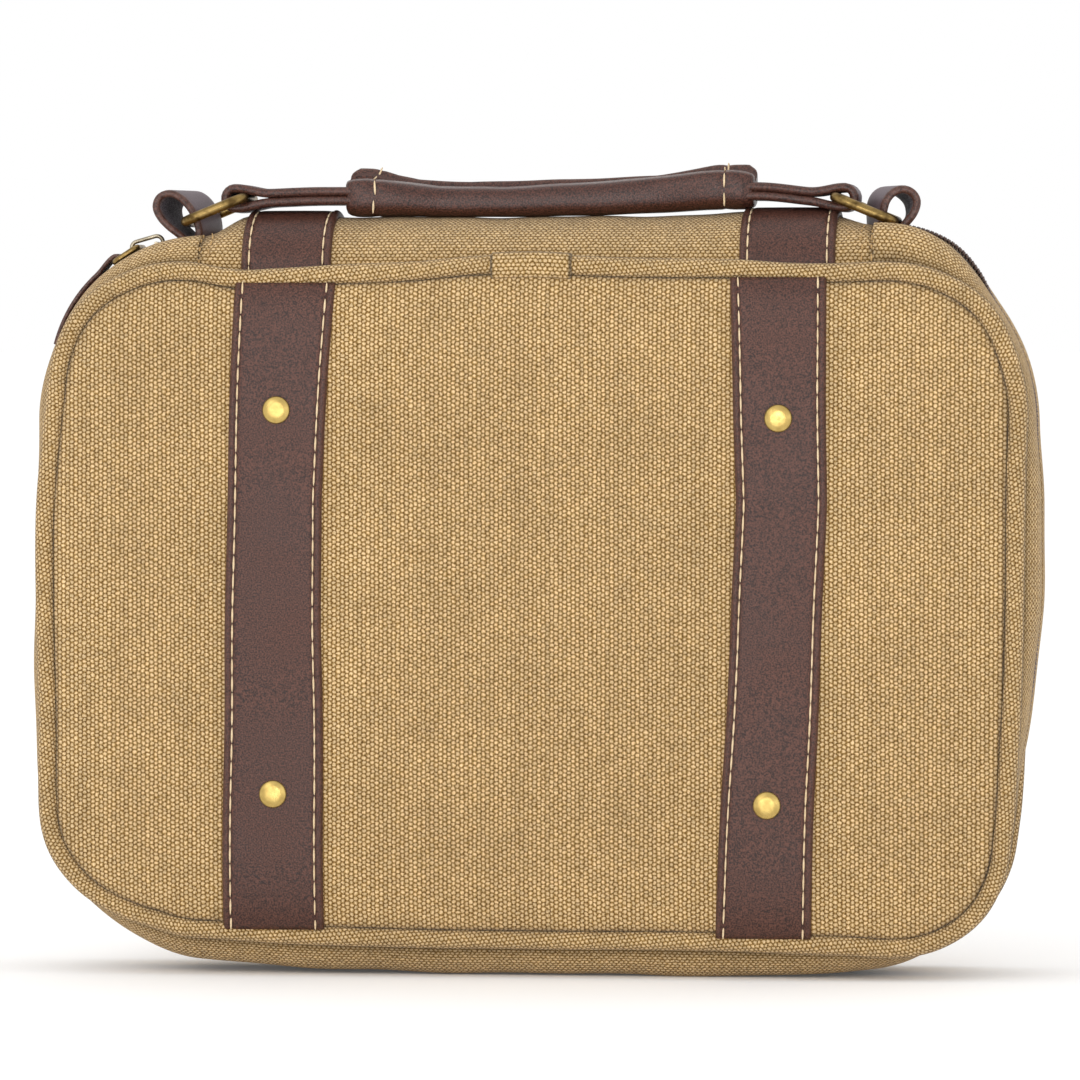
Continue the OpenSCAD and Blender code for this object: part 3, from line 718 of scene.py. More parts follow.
def makePiping(side, body, part):
    shape = Shape()
    angles = np.arange(welt["sides"]) / welt["sides"] * 2 * math.pi
    sections = []
    for s, stray in zip(wholeRun["s"], wholeRun["stray"]):
        radius = welt["radius"] * (1 + welt["waver"] * math.sin(s / 17 + 1.2 * math.sin(s / 41)) * 0.6)
        sections.append(
            np.stack([stray + radius * np.cos(angles), case["depth"] + radius * np.sin(angles)], axis=1)
        )
    rows = carried(wholeRun, sections, side)
    turn = np.degrees(angles)
    # Painted shade: marks on the tube's outer and inner side, where it meets the side wall and the face,
    # darken those creases
    dark = sum(np.exp(-(((turn - at) / welt["crease"]) ** 2)) for at in (0, 360, 180))
    shape.surface(rows, loop=True, uv=lengthUv(rows, sections[0], shut=True), wear_and_shade=np.tile(dark, len(rows)))
    shape.done(part + "_welt", body, ["bias"], [part + "_piping", part + "_piping_cord"])


for part, (side, body) in covers.items():
    makePiping(side, body, part)
print("piping made")

# Side walls

# The wall's marks are painted shade on the points of its crease under the piping
wall = {
    "thick": 1.3, "edge": 5.4, "crown": 14.0, "flange": -8.5, "marks": (0.25, 0.7, 1.0, 1.0, 1.0),
    "bend": [(0.0, 0.0), (0.25, 0.03), (0.5, 0.13), (0.7, 0.29), (0.85, 0.49), (0.95, 0.71), (1.0, 0.9)],
}


# Outer and inner face of the side wall as [n, d] points, from the zip over the crown into the seam
def wallSection(crown, stray):
    low, near = stray + 1.6, case["depth"] - 2.95
    outer = [
        (crown - 0.75, wall["edge"]),
        (crown - 0.3, wall["edge"] + 0.5),
        (crown - 0.05, wall["edge"] + 2.2),
        (crown, 11.0),
    ]
    outer += [(lerp(crown, low, fall), lerp(wall["crown"], near, way)) for way, fall in wall["bend"]]
    outer += [
        (stray + 0.2, near - 0.05),
        (stray - 1.7, near + 0.6),
        (stray - 3.0, near + 2.0),
        (wall["flange"], near + 2.3),
    ]
    outer = np.array(outer)
    return outer, outer + leftOf(outer) * wall["thick"]


def makeWall(side, body, part):
    run = seamRun(case["half"] - 0.5, case["length"] - case["half"] + 0.5)
    sections = []
    for s, crown, stray in zip(run["s"], run["crown"], run["stray"]):
        # A slow and a short wave along the crown
        crown += 0.22 * math.sin(s / 13) + 0.15 * math.sin(s / 5.3 + 1)
        outer, inner = wallSection(crown, stray)
        sections.append(np.concatenate([outer, inner[::-1]]))
    shape = Shape()
    marks = np.zeros((len(sections), len(sections[0])))
    # Painted shade: the points where the wall bends in under the piping are marked dark, for that crease
    marks[:, 9:14] = wall["marks"]
    rows = carried(run, sections, side)
    shape.surface(rows, uv=lengthUv(rows, sections[0], measured=6), wear_and_shade=marks)
    wallPiece = shape.done(part + "_side", body, ["side"], [part + "_gusset"])


for part, (side, body) in covers.items():
    makeWall(side, body, part)
print("side walls made")

# Repeated small pieces, by Geometry Nodes


# One tree serves every row: it copies a small mesh along a line, aligned to the line and its "out" direction
def makeRowTree():
    tree = bpy.data.node_groups.new("row", "GeometryNodeTree")
    face = tree.interface
    face.new_socket("Geometry", in_out="INPUT", socket_type="NodeSocketGeometry")
    for label, kind, value in (
        ("Pitch", "NodeSocketFloat", 0.0046), ("Copy", "NodeSocketObject", None),
        ("Material", "NodeSocketMaterial", None),
        ("Jitter", "NodeSocketFloat", 0.06), ("Seed", "NodeSocketInt", 3),
    ):
        socket = face.new_socket(label, in_out="INPUT", socket_type=kind)
        if value is not None:
            socket.default_value = value
    face.new_socket("Geometry", in_out="OUTPUT", socket_type="NodeSocketGeometry")
    graph = Graph(tree)
    given, result = graph.node("NodeGroupInput", (-8, 0)), graph.node("NodeGroupOutput", (8, 0))
    line = graph.node("GeometryNodeMeshToCurve", (-6, 0))
    graph.feed(line.inputs["Mesh"], given.outputs["Geometry"])
    even = graph.node("GeometryNodeResampleCurve", (-4, 0), mode="LENGTH")
    graph.feed(even.inputs["Curve"], line.outputs[0])
    graph.feed(even.inputs["Length"], given.outputs["Pitch"])
    copies = graph.node("GeometryNodeInstanceOnPoints", (0, 0))
    graph.feed(copies.inputs["Points"], even.outputs[0])
    source = graph.node("GeometryNodeObjectInfo", (-3, 3))
    graph.feed(source.inputs["Object"], given.outputs["Copy"])
    graph.feed(copies.inputs["Instance"], source.outputs["Geometry"])
    out = graph.node("GeometryNodeInputNamedAttribute", (-5, 4), data_type="FLOAT_VECTOR")
    out.inputs["Name"].default_value = "out"
    upright = graph.node("FunctionNodeAlignRotationToVector", (-3, 5), axis="Z")
    graph.feed(upright.inputs["Vector"], out.outputs["Attribute"])
    way = graph.node("GeometryNodeInputTangent", (-5, 6))
    aligned = graph.node("FunctionNodeAlignRotationToVector", (-1, 5), axis="X", pivot_axis="Z")
    graph.feed(aligned.inputs["Rotation"], upright.outputs[0])
    graph.feed(aligned.inputs["Vector"], way.outputs[0])
    chance = graph.node("FunctionNodeRandomValue", (-3, 7), data_type="FLOAT_VECTOR")
    low, high = graph.node("ShaderNodeCombineXYZ", (-5, 7)), graph.node("ShaderNodeCombineXYZ", (-5, 8))
    down = graph.maths("SUBTRACT", 1.0, given.outputs["Jitter"])
    up = graph.maths("ADD", 1.0, given.outputs["Jitter"])
    for index in range(3):
        graph.feed(low.inputs[index], down)
        graph.feed(high.inputs[index], up)
    graph.feed(chance.inputs["Min"], low.outputs[0])
    graph.feed(chance.inputs["Max"], high.outputs[0])
    graph.feed(next(s for s in chance.inputs if s.name == "Seed"), given.outputs["Seed"])
    graph.feed(copies.inputs["Rotation"], aligned.outputs[0])
    graph.feed(copies.inputs["Scale"], chance.outputs[0])
    real = graph.node("GeometryNodeRealizeInstances", (3, 0))
    graph.feed(real.inputs[0], copies.outputs[0])
    painted = graph.node("GeometryNodeSetMaterial", (5, 0))
    graph.feed(painted.inputs["Geometry"], real.outputs[0])
    graph.feed(painted.inputs["Material"], given.outputs["Material"])
    graph.feed(result.inputs[0], painted.outputs[0])
    return tree


rowTree = makeRowTree()


# A small closed mesh turned about its own Z: profile is (radius, height) pairs, stretched by scale
def turned(name, profile, sides, scale=(1, 1, 1)):
    shape = Shape()
    angles = np.arange(sides) / sides * 2 * math.pi
    rows = [
        [(r * math.cos(a) * scale[0], r * math.sin(a) * scale[1], h * scale[2]) for a in angles]
        for r, h in profile
    ]
    shape.surface(rows)
    mesh = meshOf(shape, name)
    faceOutward(mesh)
    return bpy.data.objects.new(name, mesh)


# Copies along several lines, each (points, out directions), made into one mesh that rides on a body
def rowPiece(name, lines, copy, pitch, material, body, jitter, seed, replaced=()):
    mesh = bpy.data.meshes.new(name + "_line")
    points, edges, outs = [], [], []
    for line, out in lines:
        base = len(points)
        points.extend((np.array(line) * mm).tolist())
        outs.extend(np.asarray(out, float).tolist())
        edges.extend((base + i, base + i + 1) for i in range(len(line) - 1))
    mesh.from_pydata(points, edges, [])
    mark = mesh.attributes.new("out", "FLOAT_VECTOR", "POINT")
    mark.data.foreach_set("vector", np.array(outs, np.float32).reshape(-1))
    holder = added(name + "_line", mesh)
    bpy.context.scene.collection.objects.link(copy)
    modifier = holder.modifiers.new("row", "NODES")
    modifier.node_group = rowTree
    values = {"Pitch": pitch * mm, "Copy": copy, "Material": look[material], "Jitter": jitter, "Seed": seed}
    for item in rowTree.interface.items_tree:
        if item.item_type == "SOCKET" and item.in_out == "INPUT" and item.name in values:
            modifier[item.identifier] = values[item.name]
    bpy.context.view_layer.update()
    made = bpy.data.meshes.new_from_object(holder.evaluated_get(bpy.context.evaluated_depsgraph_get()))
    made.name = name
    if made.attributes.get("out"):
        made.attributes.remove(made.attributes["out"])
    bpy.data.objects.remove(holder)
    bpy.data.objects.remove(copy)
    return settle(added(name, made), body, replaced)


stitch = {"length": 4.7, "width": 0.56, "height": 0.5, "pitch": 4.6, "inset": 2.25}


def stitchCopy(length=stitch["length"]):
    profile = [(0.02, -0.5), (0.34, -0.38), (0.5, 0.0), (0.4, 0.32), (0.02, 0.5)]
    return turned("stitch", profile, 12, (length, stitch["width"], stitch["height"]))


def holeCopy():
    profile = [(0.02, -0.5), (0.4, -0.3), (0.5, 0.0), (0.36, 0.34), (0.02, 0.42)]
    return turned("hole", profile, 10, (0.5, 0.42, 0.26))


# Leather straps on the faces

band = {
    "edge": 0.9, "rim": 1.25, "rimRise": 0.24, "groove": 0.5, "sink": 0.42, "dome": 0.12, "bury": 0.5,
    "tuck": 1.4, "step": 2.0,
}
strapBox = boxOf("front_strap_left")
band["width"] = strapBox[1][0] - strapBox[0][0]
band["thick"] = -strapBox[0][1] - face["back"] - face["thick"]
# Sideways stray of each strap from its even place, and its width, at heights from the top seam down
lean = {
    "left": [
        (190, 0.45, 27.7), (165, -0.85, 26.9), (130, -2.25, 25.9), (90, -2.55, 26.7), (50, -2.6, 27.6),
        (9, -3.0, 27.8),
    ],
    "right": [
        (190, -0.8, 26.2), (165, -0.2, 25.4), (130, 0.3, 24.8), (90, -1.2, 24.8), (50, -3.2, 25.4),
        (9, -4.9, 26.2),
    ],
}


# Stray and width of a strap at height z
def leanAt(which, z):
    table = sorted(lean[which])
    heights = [row[0] for row in table]
    return np.interp(z, heights, [row[1] for row in table]), np.interp(z, heights, [row[2] for row in table])


# Offsets across a strap of the given width, with the leather's height at each
def strapProfile(width):
    half = width / 2
    offs = [0.0, 0.08, 0.22, 0.45, 0.75, 1.05, 1.35, 1.65, 1.9, 2.1, 2.25, 2.4, 2.6, 2.9, 3.4, 4.5, 6.5, 9.5]
    spots = [-half + v for v in offs] + [0.0] + [half - v for v in reversed(offs)]
    heights = []
    for spot in spots:
        off = half - abs(spot)
        roll = 1 - max(0.0, 1 - off / band["edge"]) ** 2
        rise = math.sqrt(max(roll, 0.0)) * band["thick"]
        rise += band["rimRise"] * bell(off, band["rim"], 0.6)
        rise -= band["sink"] * bell(off, stitch["inset"], band["groove"])
        rise += band["dome"] * (1 - (spot / half) ** 2)
        heights.append(rise)
    return spots, heights


# Wear along both edges of a strap
def strapMarks(width):
    spots, _ = strapProfile(width)
    return [bell(width / 2 - abs(v), 0.5, 0.7) for v in spots]


# A strap from seam to seam; gives back the two lines that its stitches follow
def makeStrap(side, body, part, which):
    low, high = boxOf(part + "_strap_" + which)
    middle = (low[0] + high[0]) / 2
    # Both ends are tucked under the piping
    top, bottom = case["high"] + case["radius"], case["low"] - case["radius"]
    angles = [math.degrees(math.atan2(z - case["middle"], middle)) for z in (top, bottom)]
    topStray, lowStray = (strayAt(angle) for angle in angles)
    top, bottom = top + topStray - band["tuck"], bottom - lowStray + band["tuck"]
    rows, marks, lines = [], [], [[], []]
    for z in np.linspace(top, bottom, int((top - bottom) / band["step"])):
        stray, width = leanAt(which, z)
        spots, heights = strapProfile(width)
        centre = middle + stray + 0.12 * math.sin(z / 9)
        ground = surfaceAt(centre, z)
        row = [
            (centre + v, -side * (0.35 * surfaceAt(centre + v, z) + 0.65 * ground + h), z)
            for v, h in zip(spots, heights)
        ]
        under = ground - band["bury"]
        row = row + [(row[-1][0], -side * under, z), (row[0][0], -side * under, z)]
        rows.append(row)
        marks.append(strapMarks(width) + [0, 0])
        for line, sign in zip(lines, (-1, 1)):
            spot = sign * (width / 2 - stitch["inset"])
            height = np.interp(spot, spots, heights)
            line.append((centre + spot, -side * (ground + height + 0.12), z))
    shape = Shape()
    shape.surface(rows, wear_and_shade=marks)
    shape.done(
        part + "_strap_" + which + "_leather", body, ["leather"], [part + "_strap_" + which],
    )
    return [line[1:-1] for line in lines]


# The line without its first gap millimetres, with as many points
def shifted(line, gap):
    line = np.array(line)
    run = reachOf(line)
    at = np.linspace(gap, run[-1], len(line))
    return np.stack([np.interp(at, run, line[:, i]) for i in range(3)], axis=1)


# Thread along the lines, and a needle hole between every two stitches
def stitchPair(name, lines, body, seed):
    pitch = stitch["pitch"]
    rowPiece(name + "_stitches", lines, stitchCopy(), pitch, "thread", body, jitter=0.08, seed=seed)
    holes = [(shifted(line, pitch / 2) - np.asarray(out) * 0.1, out) for line, out in lines]
    rowPiece(name + "_holes", holes, holeCopy(), pitch, "hole", body, jitter=0.12, seed=seed + 1)


for part, (side, body) in covers.items():
    lines = []
    for which in ("left", "right"):
        lines += makeStrap(side, body, part, which)
    out = (0.0, -side, 0.0)
    stitchPair(part + "_strap", [(line, [out] * len(line)) for line in lines], body, 11 + side)
print("straps made")

# Rivets

# Apart is longer than any row of two rivets, so that only the row's two ends get one
stud = {"flat": 2.55, "rise": 1.25, "apart": 300.0}
# Sideways stray and height of each strap's upper and lower rivet
rivetSpots = {"left": ((-1.5, 155.0), (-2.5, 50.2)), "right": ((-0.4, 152.9), (-3.4, 48.0))}


def makeRivets(side, body, part):
    _, high = boxOf(part + "_rivets")
    strapLow, strapHigh = boxOf("front_strap_right")
    middle = (strapLow[0] + strapHigh[0]) / 2
    radius = high[0] - middle
    flat, rise = stud["flat"], stud["rise"]
    rim = [(0.5, -0.9), (0.1, -0.2), (0.0, 0.15), (0.1, 0.5), (0.42, 0.78), (0.95, 0.98)]
    profile = [(radius - inward, height) for inward, height in rim]
    profile += [(flat, rise - 0.1), (flat * 0.8, rise - 0.02), (flat * 0.5, rise + 0.02), (0.25, rise + 0.03)]
    lines = []
    for which, sign in (("left", -1), ("right", 1)):
        spots = [(sign * middle + stray, z) for stray, z in rivetSpots[which]]
        places = [(x, -side * (surfaceAt(x, z) + band["thick"] + band["dome"]), z) for x, z in spots]
        lines.append((places, [(0.0, -side, 0.0)] * 2))
    replaced = [part + "_rivets"]
    copy = turned("stud", profile, 40)
    rowPiece(
        part + "_studs", lines, copy, stud["apart"], "rivet", body, jitter=0.0, seed=5,
        replaced=replaced,
    )


for part, (side, body) in covers.items():
    makeRivets(side, body, part)
print("rivets made")

# Spine

spineLow, spineHigh = boxOf("spine_panel")
arch = {
    "half": spineHigh[0] + 0.6, "low": 80.0, "rise": 18.2, "ends": (12.9, 15.4), "width": 20.95, "thick": 1.3,
    "foot": -2.8,
    "seat": case["high"] + case["radius"], "steps": 36, "rows": 94, "leg": 84, "strapRows": 48,
}


# Share of the way from the spine's level middle to its end
def endShare(x):
    return float(eased((abs(x) - arch["low"]) / (arch["half"] - arch["low"])))


def archRise(x):
    swell = 0.9 * bell(x, 60, 16) - 0.35 * bell(x, -20, 40)
    return lerp(arch["rise"] + swell, arch["ends"][int(x > 0)], endShare(x))


# Point [y, z] on the arch over the spine at x, with u from -90 at the front foot to 90 at the rear one
def archPoint(x, u, inset=0.0):
    bend = 2 + 1.2 * endShare(x)
    angle = math.radians(u)
    y = math.copysign(abs(math.sin(angle)) ** (2 / bend), u) * (arch["width"] - inset)
    z = max(math.cos(angle), 0.0) ** (2 / bend) * (archRise(x) - inset)
    return y, arch["seat"] + z


def archLine(x, inset=0.0):
    points = [archPoint(x, -90 + 180 * i / arch["steps"], inset) for i in range(arch["steps"] + 1)]
    foot = arch["seat"] + arch["foot"]
    return [(points[0][0], foot)] + points + [(points[-1][0], foot)]


def makeSpine():
    rows, marks, uv = [], [], []
    for x in np.linspace(-arch["half"], arch["half"], arch["rows"]):
        lift = 0.16 * math.sin(x / 7) + 0.1 * math.sin(x / 3.1 + 2)
        outer, inner = archLine(x, -lift), archLine(x, arch["thick"])
        row = [(x, y, z) for y, z in outer] + [(x, y, z) for y, z in reversed(inner)]
        rows.append(row)
        # Painted shade along the crease where the spine's feet meet the piping, and lighter painted shade at
        # its two end seams
        foot = [1.0, 1.0, 0.6, 0.2] + [0.0] * (len(outer) - 8) + [0.2, 0.6, 1.0, 1.0] + [0.0] * len(inner)
        marks.append([max(v, 0.55 if abs(x) > arch["half"] - 0.9 else 0.0) for v in foot])
        step = np.concatenate([[0], np.cumsum([math.dist(a, b) for a, b in zip(row[:-1], row[1:])])])
        uv.append([(x * mm, v * mm) for v in list(step) + [step[-1] + arch["thick"]]])
    shape = Shape()
    shape.surface(rows, wear_and_shade=marks, uv=uv)
    cover = shape.done("spine_cover", "spine", ["spine"], ["spine_panel"])


def makeSpineStrap(which, stray, width):
    low, high = boxOf("spine_strap_" + which)
    middle = (low[0] + high[0]) / 2 + stray
    spots, heights = strapProfile(width)
    rows, marks, lines = [], [], [([], []), ([], [])]
    for u in np.linspace(-arch["leg"], arch["leg"], arch["strapRows"]):
        centre = middle + 0.25 * math.sin(math.radians(u * 2))
        y, z = archPoint(centre, u)
        before, after = archPoint(centre, u - 1), archPoint(centre, u + 1)
        way = Vector((0, after[0] - before[0], after[1] - before[1])).normalized()
        out = Vector((0, -way.z, way.y))
        if out.z < 0 and abs(u) < 60:
            out = -out
        end = max(0.0, (abs(u) - 72) / 12)
        row = [(centre + v, y + out.y * (h * (1 - 0.3 * end)), z + out.z * h) for v, h in zip(spots, heights)]
        row += [(row[-1][0], y - out.y * 0.5, z - out.z * 0.5), (row[0][0], y - out.y * 0.5, z - out.z * 0.5)]
        rows.append(row)
        marks.append(strapMarks(width) + [0, 0])
        for line, sign in zip(lines, (-1, 1)):
            spot = sign * (width / 2 - stitch["inset"])
            height = np.interp(spot, spots, heights) + 0.12
            line[0].append((centre + spot, y + out.y * height, z + out.z * height))
            line[1].append(tuple(out))
    shape = Shape()
    shape.surface(rows, wear_and_shade=marks)
    shape.done("spine_strap_" + which + "_leather", "spine", ["leather"], ["spine_strap_" + which])
    return lines


makeSpine()
spineLines = makeSpineStrap("left", 0.0, 24.8) + makeSpineStrap("right", 1.4, 26.2)
stitchPair("spine_strap", spineLines, "spine", 41)
print("spine made")


# Bands of leather


# A band with rounded edges along a path of (x, z) points. Kinds are the materials of the face to the path's
# left, of the edges and of the face to its right
def ribbon(shape, path, thick, low, high, skew=None, kinds=(0, 0, 0), wearEdge=1.0):
    path = np.array(path, float)
    out = leftOf(path)
    half = thick / 2
    edge = [(math.sin(a), math.cos(a)) for a in np.linspace(0, math.pi, 9)]
    inner = np.linspace(0, 1, 7)[1:-1]
    section = [(high - half + half * s, half * c) for s, c in edge]
    section += [(lerp(high - half, low + half, t), -half) for t in inner]
    section += [(low + half - half * s, -half * c) for s, c in edge]
    section += [(lerp(low + half, high - half, t), half) for t in inner]
    kind = [kinds[1]] * 8 + [kinds[2]] * 6 + [kinds[1]] * 8 + [kinds[0]] * 6
    mark = [wearEdge] * 9 + [0.0] * 5 + [wearEdge] * 9 + [0.0] * 5
    rows = []
    for index, (place, normal) in enumerate(zip(path, out)):
        shift = skew(index / (len(path) - 1)) if skew else 0.0
        rows.append([
            (place[0] + normal[0] * h + shift * (y - low) / (high - low), y, place[1] + normal[1] * h)
            for y, h in section
        ])
    shape.surface(rows, kind=kind, wear_and_shade=[mark] * len(rows))


def arcPath(centre, radius, start, end, count):
    angles = [math.radians(a) for a in np.linspace(start, end, count)]
    return [(centre[0] + radius * math.cos(a), centre[1] + radius * math.sin(a)) for a in angles]


def joined(*runs, step=0.9):
    points = np.array([p for run in runs for p in run], float)
    reach = reachOf(points)
    keep = np.concatenate([[True], np.diff(reach) > 1e-6])
    points, reach = points[keep], reach[keep]
    at = np.linspace(0, reach[-1], int(reach[-1] / step) + 1)
    return np.stack([np.interp(at, reach, points[:, i]) for i in range(2)], axis=1)


# Middle line of each hanging loop at its front edge, from its inner foot over the top to its outer foot.
# Skew is how far its rear edge stands toward the grip, and share is the part of it at hangerStations
hanger = {
    "left": {"thick": 2.0, "skew": 5.4, "share": (0.5, 0.75, 1.0, 0.85, 0.5, 0.3, 0.4), "line": [
        (-95.5, 199.2), (-94.2, 203.0), (-94.8, 206.6), (-96.5, 210.1), (-99.2, 213.0), (-102.3, 214.4),
        (-105.1, 213.5),
        (-106.2, 210.9), (-105.1, 208.0), (-102.6, 205.3), (-99.6, 203.0), (-97.4, 201.0), (-96.7, 199.2),
    ]},
    "right": {"thick": 2.2, "skew": -6.4, "share": (0.5, 0.75, 1.0, 0.7, 0.22, 0.1, 0.3), "line": [
        (95.0, 199.2), (94.2, 203.0), (94.7, 206.8), (95.1, 209.8), (96.0, 212.4), (97.9, 214.4),
        (100.5, 215.2),
        (102.9, 214.2), (104.1, 211.9), (103.3, 209.0), (101.3, 206.4), (99.0, 204.1), (97.1, 201.8),
        (96.3, 199.2),
    ]},
}

hangerStations = (0.0, 0.2, 0.45, 0.6, 0.75, 0.9, 1.0)


# Smooth open line through points, by cubic pieces
def through(points, share=6):
    points = np.array(points, float)
    ends = np.concatenate([[2 * points[0] - points[1]], points, [2 * points[-1] - points[-2]]])
    line = []
    for a, b, c, d in zip(ends[:-3], ends[1:-2], ends[2:-1], ends[3:]):
        for t in np.arange(share) / share:
            square, cube = 2 * a - 5 * b + 4 * c - d, 3 * b - a - 3 * c + d
            line.append(0.5 * (2 * b + (c - a) * t + square * t**2 + cube * t**3))
    return line + [points[-1]]


def makeLoop(which):
    values = hanger[which]
    low, high = boxOf("loop_" + which)
    path = joined(through(values["line"]), step=0.8)
    outer = which == "left"

    def skew(t):
        return values["skew"] * float(np.interp(t if outer else 1 - t, hangerStations, values["share"]))

    shape = Shape()
    ribbon(
        shape, path if outer else path[::-1], values["thick"], low[1], high[1], skew=skew, kinds=(2, 1, 0),
        wearEdge=0.7,
    )
    shape.done("hanger_" + which, "handle_anchor", ["painted_sheen", "grip", "suede"], ["loop_" + which])


for which in ("left", "right"):
    makeLoop(which)

tabShape = {"thick": 2.45, "eye": 2.72, "near": 1.24, "taper": 74.0, "inside": 51.0, "bar": 84.0}


def makeTab(which, rise):
    low, high = boxOf("handle_tab_" + which)
    sign = -1 if which == "left" else 1
    centre, middle = tabShape["bar"], (low[2] + high[2]) / 2
    spans = np.linspace(tabShape["inside"], centre, 40)
    opening = eased((spans - tabShape["taper"]) / (centre - tabShape["taper"]))
    gaps = [lerp(tabShape["near"], tabShape["eye"], float(share)) for share in opening]
    lifts = [rise * (1 - float(eased((x - 60) / 20))) for x in spans]
    upper = [(x, middle + g + v) for x, g, v in zip(spans, gaps, lifts)]
    lower = [(x, middle - g + v) for x, g, v in zip(spans, gaps, lifts)]
    path = joined(upper, arcPath((centre, middle), tabShape["eye"], 90, -90, 24), lower[::-1])
    path[:, 0] *= sign
    shape = Shape()
    ribbon(
        shape, path if sign > 0 else path[::-1], tabShape["thick"], low[1], high[1], kinds=(0, 1, 2),
        wearEdge=0.3,
    )
    shape.done(
        "handle_" + which + "_tab", "handle", ["painted_sheen", "grip", "suede"], ["handle_tab_" + which],
    )


makeTab("left", 0.6)
makeTab("right", 1.7)
print("loops and tabs made")

# Keeper on the top piping

keeper = {"radius": 3.75, "square": 0.52, "round": 0.5, "draw": 0.6, "sides": 36, "inset": 0.8, "drop": 0.35}


def makeKeeper():
    low, high = boxOf("piping_keeper")
    run = seamRun(low[0] + keeper["inset"], high[0], step=0.55)
    angles = np.arange(keeper["sides"]) / keeper["sides"] * 2 * math.pi
    sections = []
    for s, stray in zip(run["s"], run["stray"]):
        end = min(s - run["s"][0], run["s"][-1] - s) / keeper["round"]
        radius = keeper["radius"] - keeper["draw"] * shoulder(end)
        across, deep = np.cos(angles), np.sin(angles)
        across, deep = (np.sign(v) * np.abs(v) ** keeper["square"] * radius for v in (across, deep))
        sections.append(np.stack([stray + across - keeper["drop"], case["depth"] + deep], axis=1))
    rows = carried(run, sections, 1)
    turn = np.degrees(angles)
    # Painted shade along the keeper's top and bottom edge and at its two ends
    dark = sum(np.exp(-(((turn - at) / 16) ** 2)) for at in (8, 368, 172))
    marks = np.tile(dark, (len(rows), 1))
    marks[[0, 1, -2, -1]] = 0.9
    shape = Shape()
    shape.surface(rows, uv=lengthUv(rows, sections[len(sections) // 2]), wear_and_shade=marks)
    shape.done("keeper_sleeve", "front_cover", ["side"], ["piping_keeper"])


makeKeeper()

# Stitching at the ends of the spine


endThread = {
    "length": 1.9, "pitch": 3.1, "offs": (0.4, 3.2), "runs": ((-76, -24), (24, 76)), "points": 14,
    "lift": 0.25, "sway": 0.35,
}


# Two rows near each end, in front of and behind the grip: the left inner row has only its front half
def makeEndStitches():
    lines = []
    for sign in (-1, 1):
        for off in endThread["offs"]:
            for first, last in endThread["runs"]:
                if sign < 0 and off > 1 and first > 0:
                    continue
                points, outs = [], []
                for u in np.linspace(first, last, endThread["points"]):
                    x = sign * (arch["half"] - off - endThread["sway"] * math.sin(u / 3) * (off > 1))
                    y, z = archPoint(x, u, -endThread["lift"])
                    points.append((x, y, z))
                    out = Vector((0, y / arch["width"], (z - arch["seat"]) / archRise(x)))
                    outs.append(tuple(out.normalized()))
                lines.append((points, outs))
    copy = stitchCopy(endThread["length"])
    rowPiece(
        "spine_end_stitches", lines, copy, endThread["pitch"], "fine", "spine", jitter=0.25, seed=83,
    )


makeEndStitches()

# Grip

gripLow, gripHigh = boxOf("grip_wrap")
grip = {
    "start": gripLow[0] + 2.6, "end": gripHigh[0] + 3.2, "step": 1.2, "narrow": 6.9, "broad": 9.4,
    "lip": 0.95, "round": 3.4,
    "under": [(-54, 207.9), (4, 207.9), (16, 208.3), (38, 209.2), (60, 210.0)],
    "front": [
        (-54, 218.2), (-47, 218.5), (-40, 217.7), (-28, 216.5), (-10, 216.2), (8, 217.0), (28, 218.6),
        (44, 220.1), (53, 220.6), (60, 220.0),
    ],
    "rear": [
        (-54, 220.8), (-51, 221.6), (-46, 221.4), (-40, 219.4), (-34, 218.2), (-20, 217.7), (8, 218.2),
        (32, 219.4), (42, 221.0), (48, 222.1), (57, 222.4), (60, 221.2),
    ],
    "spread": [(-54, 6.3), (-46, 6.0), (-34, 2.4), (-20, 1.7), (26, 1.7), (40, 3.6), (50, 6.2), (60, 6.4)],
    "threads": (-45.5, 51.2), "threadLength": 4.1, "threadPitch": 4.0,
}


def gripAt(label, x):
    table = grip[label]
    return float(np.interp(x, [row[0] for row in table], [row[1] for row in table]))


# Section round the grip as (y, z) points: up the front, over its raw edge, into the valley, and down the back
def gripSection(x):
    half = lerp(grip["narrow"], grip["broad"], float(eased((abs(x - 3) - 26) / 22)))
    under, spread, lip = gripAt("under", x), gripAt("spread", x), grip["lip"]
    points, marks = [], []
    for label, side in (("front", -1), ("rear", 1)):
        top = gripAt(label, x)
        middle = lerp(under, top, 0.46)
        leg, marked = [], []
        for b in np.linspace(-90, 82, 21):
            reach = abs(math.cos(math.radians(b))) ** 0.62
            rise = math.copysign(abs(math.sin(math.radians(b))) ** 0.8, b)
            edge = half * reach if b < 0 else lerp(spread + lip, half, reach)
            leg.append((side * edge, middle + rise * ((middle - under) if b < 0 else (top - 0.35 - middle))))
            marked.append(max(0.0, (b - 62) / 20))
        valley = [(0.55, 0.0), (0.1, 0.05), (-0.35, 0.5), (-0.55, 1.3)]
        leg += [(side * (spread + across), top - down) for across, down in valley] + [(side * 0.2, top - 2.2)]
        marked += [1.0, 1.0, 0.7, 0.0, 0.0]
        if side < 0:
            points, marks = points + leg, marks + marked
        else:
            points, marks = points + leg[::-1][:-1], marks + marked[::-1][:-1]
    return np.array(points), marks


